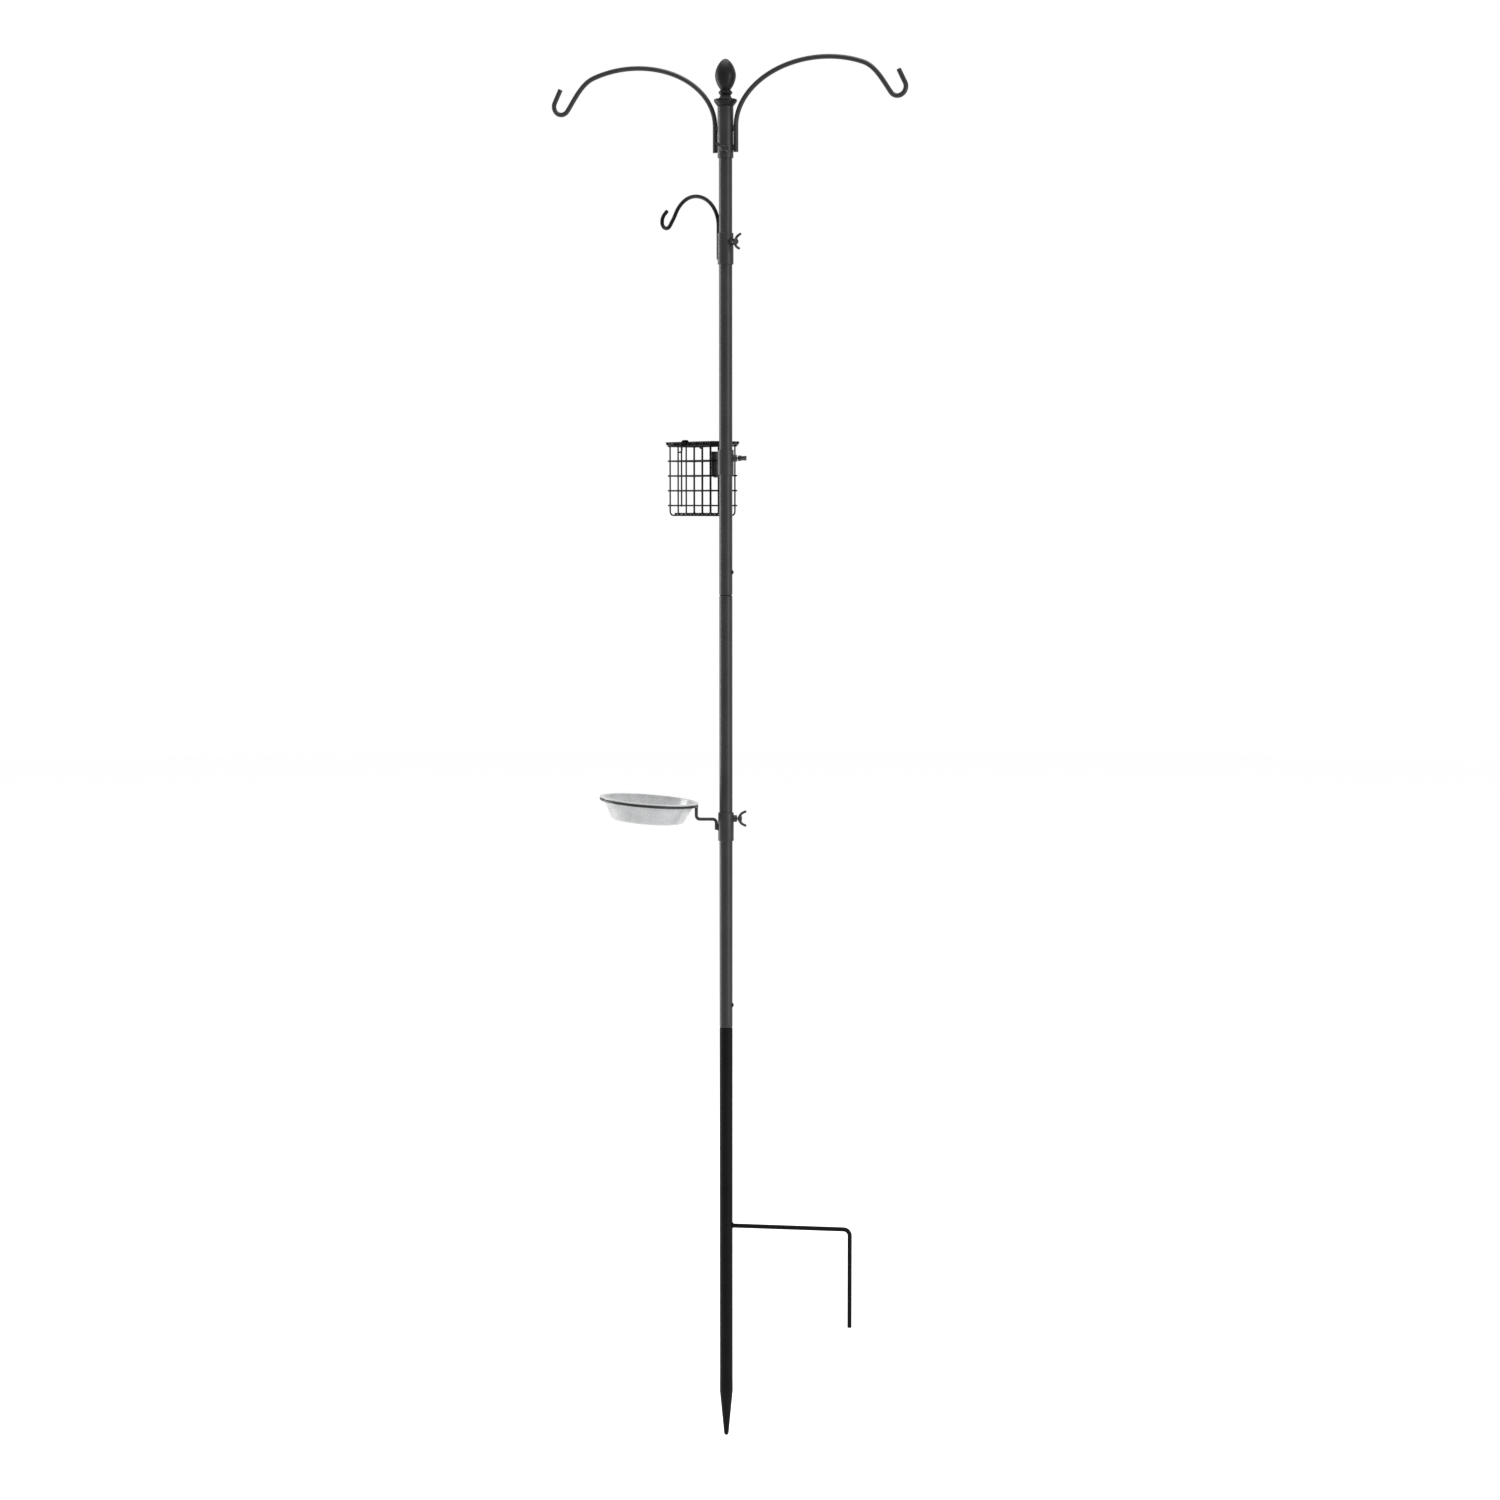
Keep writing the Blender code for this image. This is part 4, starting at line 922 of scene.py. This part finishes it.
def finial(turn):
    """An egg, a superellipse turned about Z, on a turned neck, ring and flange."""
    centre = FINIAL_SEAT_Z + EGG_CENTRE
    power = 2 / EGG_POWER
    end = acos((FINIAL_CORNERS[0][0] / EGG_RADIUS) ** (1 / power))
    upper = [pi / 2 * (1 - i / EGG_STEPS) for i in range(1, EGG_STEPS + 1)]
    lower = [end * i / EGG_STEPS for i in range(1, EGG_STEPS)]
    egg = [(EGG_RADIUS * cos(t) ** power, centre + EGG_UPPER * sin(t) ** power) for t in upper]
    egg += [(EGG_RADIUS * cos(t) ** power, centre - EGG_LOWER * sin(t) ** power) for t in lower]
    out, up = egg.pop()
    below = profile_of([(out, up - FINIAL_SEAT_Z, 0), *FINIAL_CORNERS], FINIAL_SEAT_Z, 8)
    work = bmesh.new()
    lathe(work, [(0, centre + EGG_UPPER), *egg, *below], FINIAL_SIDES)
    piece("finial_egg", as_mesh(work, "finial", turn), "charcoal_coat", "finial", finish="finial_coat")


def small_hook(turn):
    apex, rise = HOOK_ARCH_TOP
    arch = arc((apex, HOOK_SPRING_Z), (apex - HOOK_ROOT[0], rise), 180, 90, 32)
    outer_size = (HOOK_ARCH_OUTER, rise)
    arch += arc((apex, HOOK_SPRING_Z), outer_size, 90, HOOK_ARCH_END, 20)[1:]
    out, up = HOOK_CURL_CENTRE
    curl = arc((out, up), HOOK_CURL_RADIUS, HOOK_CURL_START, 0, 28)
    curl += arc((out + HOOK_CURL_RADIUS - HOOK_TIP_RADIUS, up), HOOK_TIP_RADIUS, 0, HOOK_TIP_TURN, 14)[1:]
    curl = tipped(curl, HOOK_TIP_TURN, HOOK_TIP_LENGTH)
    route = [HOOK_ROOT, *hooked(arch, outer_size, HOOK_ARCH_END, curl, HOOK_CURL_START, HOOK_LINK, 14)]
    work = bmesh.new()
    rod(work, upright(route), HOOK_RADIUS)
    mesh = as_mesh(work, "small_hook", turn)
    piece("small_hook_rod", mesh, "charcoal_coat", "small_hook", finish="hook_coat")
    work = bmesh.new()
    for z in HOOK_BEAD_Z:
        lump(work, (SLEEVE_RADIUS + HOOK_BEAD_OUT, 0, z), HOOK_BEAD, BEAD_RIPPLE)
    mesh = as_mesh(work, "welds", turn)
    piece("small_hook_welds", mesh, "charcoal_coat", beside="small_hook", finish="hook_coat")


# ---------------------------------------------------------------- cage


def hoop_z(number):
    return CAGE_RIM_Z - number * CAGE_PITCH


def hook_strip(turn):
    """The J-shaped strip, its long edges rolled over, and the welds down its sides."""
    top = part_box("cage_sleeve")[1].z - STRIP_BELOW_SLEEVE_TOP
    bottom = hoop_z(CAGE_HANGS_BY) - WIRE_RADIUS - GAP - STRIP_THICKNESS / 2
    inner = CAGE_NEAR_Y - STRIP_BEND
    bend = arc((CAGE_NEAR_Y, bottom + STRIP_BEND), STRIP_BEND, 180, 360, 28)
    path = [(inner, top), *bend, (CAGE_NEAR_Y + STRIP_BEND, STRIP_TIP_Z)]
    half, thick = STRIP_WIDTH / 2, STRIP_THICKNESS / 2
    corners = [(half, thick), (-half, thick), (-half, -thick), (half, -thick)]
    outline = rounded(corners, STRIP_EDGE, 4, closed=True)
    work = bmesh.new()
    sweep(work, [(0, out, up) for out, up in path], outline)
    piece("cage_hook_strip", as_mesh(work, "hook_strip", turn), "charcoal_coat", "hook_strip", sharp=50)
    work = bmesh.new()
    for side in (1, -1):
        for down in STRIP_BEADS:
            place = (side * STRIP_BEAD_X, inner - STRIP_BEAD_IN, top - down)
            lump(work, place, STRIP_BEAD, STRIP_BEAD_RIPPLE)
    piece("hook_strip_welds", as_mesh(work, "welds", turn), "charcoal_coat", beside="hook_strip")


def wire_piece(name, path, turn, node_name, closed=False, radius=WIRE_RADIUS):
    work = bmesh.new()
    rod(work, path, radius, CAGE_WIRE_SIDES, closed, WIRE_EDGE)
    piece(name, as_mesh(work, name, turn), "cage_coat", node_name)


def spots(name, places, turn, beside):
    """Spot welds: the coat pooled round each crossing of two wires."""
    work = bmesh.new()
    for centre in places:
        lump(work, centre, [SPOT_RADIUS] * 3, levels=2)
    piece(name, as_mesh(work, name, turn), "cage_coat", beside=beside)


def basket(turn):
    near, far = CAGE_NEAR_Y, CAGE_NEAR_Y + CAGE_LENGTH
    left, right = CAGE_X
    welds = []
    for number in range(CAGE_HOOPS):
        z = hoop_z(number)
        corners = [(left, near, z), (right, near, z), (right, far, z), (left, far, z)]
        loop = rounded(corners, CAGE_CORNER, 10, closed=True)
        wire_piece(f"cage_hoop_{number + 1}", loop, turn, f"basket_hoop_{number + 1}", closed=True)
    inside = (left + WIRE_PITCH, right - WIRE_PITCH)
    top = CAGE_RIM_Z + WIRE_END - WIRE_RADIUS
    first = near + CAGE_UPRIGHT_INSET
    step = (CAGE_LENGTH - 2 * CAGE_UPRIGHT_INSET) / (CAGE_UPRIGHTS - 1)
    floor = CAGE_BOTTOM_Z + WIRE_PITCH
    long_x = [left + share * (right - left) for share in CAGE_LONG_WIRES]
    for number in range(CAGE_UPRIGHTS):
        y = first + number * step
        corners = [(inside[0], y, top), (inside[0], y, CAGE_BOTTOM_Z)]
        corners += [(inside[1], y, CAGE_BOTTOM_Z), (inside[1], y, top)]
        bent = rounded(corners, CAGE_BOTTOM_BEND, 14)
        wire_piece(f"cage_u_wire_{number + 1}", bent, turn, f"basket_u_wire_{number + 1}")
        for hoop in range(CAGE_HOOPS):
            welds += [(x, y, hoop_z(hoop)) for x in (left + WIRE_PITCH / 2, right - WIRE_PITCH / 2)]
        welds += [(x, y, CAGE_BOTTOM_Z + WIRE_PITCH / 2) for x in long_x]
    last = first + (CAGE_UPRIGHTS - 1) * step
    for number, x in enumerate(long_x):
        path = [(x, first - WIRE_END, floor), (x, last + WIRE_END, floor)]
        wire_piece(f"cage_long_wire_{number + 1}", path, turn, f"basket_long_wire_{number + 1}")
    middle = (left + right) / 2
    for where, y, y_weld in (
        ("near", near + WIRE_PITCH, near + WIRE_PITCH / 2),
        ("far", far - WIRE_PITCH, far - WIRE_PITCH / 2),
    ):
        path = [(middle, y, top), (middle, y, hoop_z(CAGE_HOOPS - 1) - WIRE_END)]
        wire_piece(f"cage_{where}_end_wire", path, turn, f"basket_{where}_end_wire")
        welds += [(middle, y_weld, hoop_z(hoop)) for hoop in range(CAGE_HOOPS)]
    spots("cage_spot_welds", welds, turn, "basket_hoop_1")


def lid(turn):
    left, right = CAGE_X
    middle = (left + right) / 2
    near = CAGE_NEAR_Y - LID_OVERHANG
    far = CAGE_NEAR_Y + CAGE_LENGTH + LID_OVERHANG
    frame_z = CAGE_RIM_Z + 2 * WIRE_PITCH
    cross_z = CAGE_RIM_Z + WIRE_PITCH
    corners = [(left, near, frame_z), (right, near, frame_z), (right, far, frame_z), (left, far, frame_z)]
    wire_piece("lid_rim", rounded(corners, LID_CORNER, 10, closed=True), turn, "lid_frame", closed=True)
    path = [(middle, near + WIRE_PITCH, frame_z), (middle, far - WIRE_PITCH, frame_z)]
    wire_piece("lid_middle_wire", path, turn, "lid_long_wire")
    welds = [(middle, near + WIRE_PITCH / 2, frame_z), (middle, far - WIRE_PITCH / 2, frame_z)]
    first = near + LID_CROSS_INSET
    step = (far - near - 2 * LID_CROSS_INSET) / (LID_CROSS_WIRES - 1)
    for number in range(LID_CROSS_WIRES):
        y = first + number * step
        route = [(left - WIRE_END, cross_z), (right + WIRE_END, cross_z)]
        if number in LID_HINGE_WIRES:
            route = [route[0], *arc((right, CAGE_RIM_Z), WIRE_PITCH, *LID_HINGE_TURN, 40)]
        path = [(x, y, z) for x, z in route]
        wire_piece(f"lid_bar_{number + 1}", path, turn, f"lid_cross_wire_{number + 1}")
        welds += [(x, y, cross_z + WIRE_PITCH / 2) for x in (left, middle, right)]
    spots("lid_spot_welds", welds, turn, "lid_frame")
    latch(turn, left, frame_z)


def latch(turn, x, z):
    """A coil round the lid's front wire, which runs out into a tail and a curl."""
    mean = WIRE_RADIUS + LATCH_CLEARANCE + LATCH_WIRE_RADIUS
    pitch = 2 * LATCH_WIRE_RADIUS + GAP
    points = []
    for i in range(LATCH_COIL_TURNS * LATCH_COIL_STEPS + 1):
        turns = i / LATCH_COIL_STEPS
        way = pi + 2 * pi * (turns - LATCH_COIL_TURNS)
        points.append((mean * cos(way), pitch * (turns - LATCH_COIL_TURNS / 2), mean * sin(way)))
    end_y = points[-1][1]
    curl = arc((-mean - LATCH_CURL_RADIUS, -LATCH_TAIL), LATCH_CURL_RADIUS, 0, LATCH_CURL_TURN, 20)
    points += [(out, end_y, up) for out, up in curl]
    y = CAGE_NEAR_Y + LATCH_FROM_NEAR_END
    path = [(x + out, y + along, z + up) for out, along, up in points]
    wire_piece("lid_latch_coil", path, turn, "lid_latch", radius=LATCH_WIRE_RADIUS)


# ---------------------------------------------------------------- dish


def dish_unit(turn):
    work = bmesh.new()
    rod(work, rounded(upright(CRANK_ROUTE), CRANK_BEND, 14), CRANK_RADIUS)
    piece("dish_crank", as_mesh(work, "crank", turn), "charcoal_coat", "dish_arm")
    rise = Vector(JOINTS["dish_lift_out"]["axis"])
    tilt = atan2(hypot(rise.x, rise.y), rise.z)
    edge = Matrix.Translation((RING_INNER_EDGE[0], 0, RING_INNER_EDGE[1]))
    level = turn @ edge @ Matrix.Rotation(-tilt, 4, "Y") @ Matrix.Translation((RING_RADIUS, 0, 0))
    work = bmesh.new()
    ring = [(x, y, 0) for x, y in round_outline(RING_RADIUS, RING_STEPS)]
    rod(work, ring, RING_WIRE_RADIUS, RING_WIRE_SIDES, closed=True)
    piece("dish_hoop", as_mesh(work, "ring", level), "charcoal_coat", "dish_ring")
    work = bmesh.new()
    lump(work, CRANK_SLEEVE_BEAD_PLACE, CRANK_SLEEVE_BEAD, BEAD_RIPPLE)
    lump(work, CRANK_RING_BEAD_PLACE, CRANK_RING_BEAD)
    piece("dish_crank_welds", as_mesh(work, "welds", turn), "charcoal_coat", beside="dish_arm")
    work = bmesh.new()
    lathe(work, profile_of(DISH_CORNERS, 0, 12), DISH_SIDES)
    piece("dish_bowl", as_mesh(work, "bowl", level), "clear_plastic", "dish")


# ---------------------------------------------------------------- stage


def area_light(name, place, target, size, power):
    data = bpy.data.lights.new(name, "AREA")
    data.shape = "RECTANGLE"
    data.size, data.size_y = size
    data.energy = power
    light = bpy.data.objects.new(name, data)
    bpy.context.scene.collection.objects.link(light)
    light.location = place
    light.rotation_euler = (Vector(target) - Vector(place)).to_track_quat("-Z", "Y").to_euler()


def beside_camera(azimuth, distance, height):
    """A place round the pole, by its angle to the right of the camera's own."""
    angle = CAMERA_AZIMUTH + radians(azimuth)
    return (distance * sin(angle), -distance * cos(angle), height)


def stage():
    work = bmesh.new()
    bmesh.ops.create_circle(work, cap_ends=True, segments=FLOOR_SIDES, radius=FLOOR_RADIUS)
    floor_mesh = as_mesh(work, "floor", Matrix.Translation((0, 0, SPIKE_TIP_Z - FLOOR_BELOW_TIP)))
    paper = bpy.data.materials.new("paper")
    paper.use_nodes = True
    shader = paper.node_tree.nodes["Principled BSDF"]
    shader.inputs["Base Color"].default_value = (*PAPER, 1)
    shader.inputs["Roughness"].default_value = PAPER_ROUGHNESS
    floor_mesh.materials.append(paper)
    floor = bpy.data.objects.new("floor", floor_mesh)
    bpy.context.scene.collection.objects.link(floor)
    world = bpy.data.worlds.new("studio")
    bpy.context.scene.world = world
    world.use_nodes = True
    world.node_tree.nodes["Background"].inputs["Color"].default_value = (1, 1, 1, 1)
    world.node_tree.nodes["Background"].inputs["Strength"].default_value = 1.0
    for name, azimuth, size, power in SIDE_LIGHTS:
        place = beside_camera(azimuth, SIDE_LIGHT_DISTANCE, SIDE_LIGHT_HEIGHT)
        area_light(name, place, LIT_POINT, size, power)
    area_light("top_box", (0, 0, TOP_LIGHT_HEIGHT), (0, 0, 0), TOP_LIGHT_SIZE, TOP_LIGHT_POWER)
    bpy.context.scene.view_settings.view_transform = "Standard"


def camera():
    data = bpy.data.cameras.new("camera")
    data.sensor_width = SENSOR_WIDTH
    data.lens = SENSOR_WIDTH * CAMERA_DISTANCE / VIEW_HEIGHT
    item = bpy.data.objects.new("camera", data)
    bpy.context.scene.collection.objects.link(item)
    item.location = beside_camera(0, CAMERA_DISTANCE, CAMERA_HEIGHT)
    right = Vector((cos(CAMERA_AZIMUTH), sin(CAMERA_AZIMUTH), 0))
    target = right * LOOK_BESIDE + Vector((0, 0, LOOK_Z))
    item.rotation_euler = (target - item.location).to_track_quat("-Z", "Y").to_euler()
    bpy.context.scene.camera = item


pole()
wing_head = wing_head_mesh()
screw_thread = thread_mesh()
for unit in ("arm", "hook", "cage", "dish"):
    clamp(unit, wing_head, screw_thread)
arms(unit_turn("arm"))
finial(unit_turn("arm"))
small_hook(unit_turn("hook"))
hook_strip(unit_turn("cage"))
basket(unit_turn("cage"))
lid(unit_turn("cage"))
dish_unit(unit_turn("dish"))
stage()
camera()
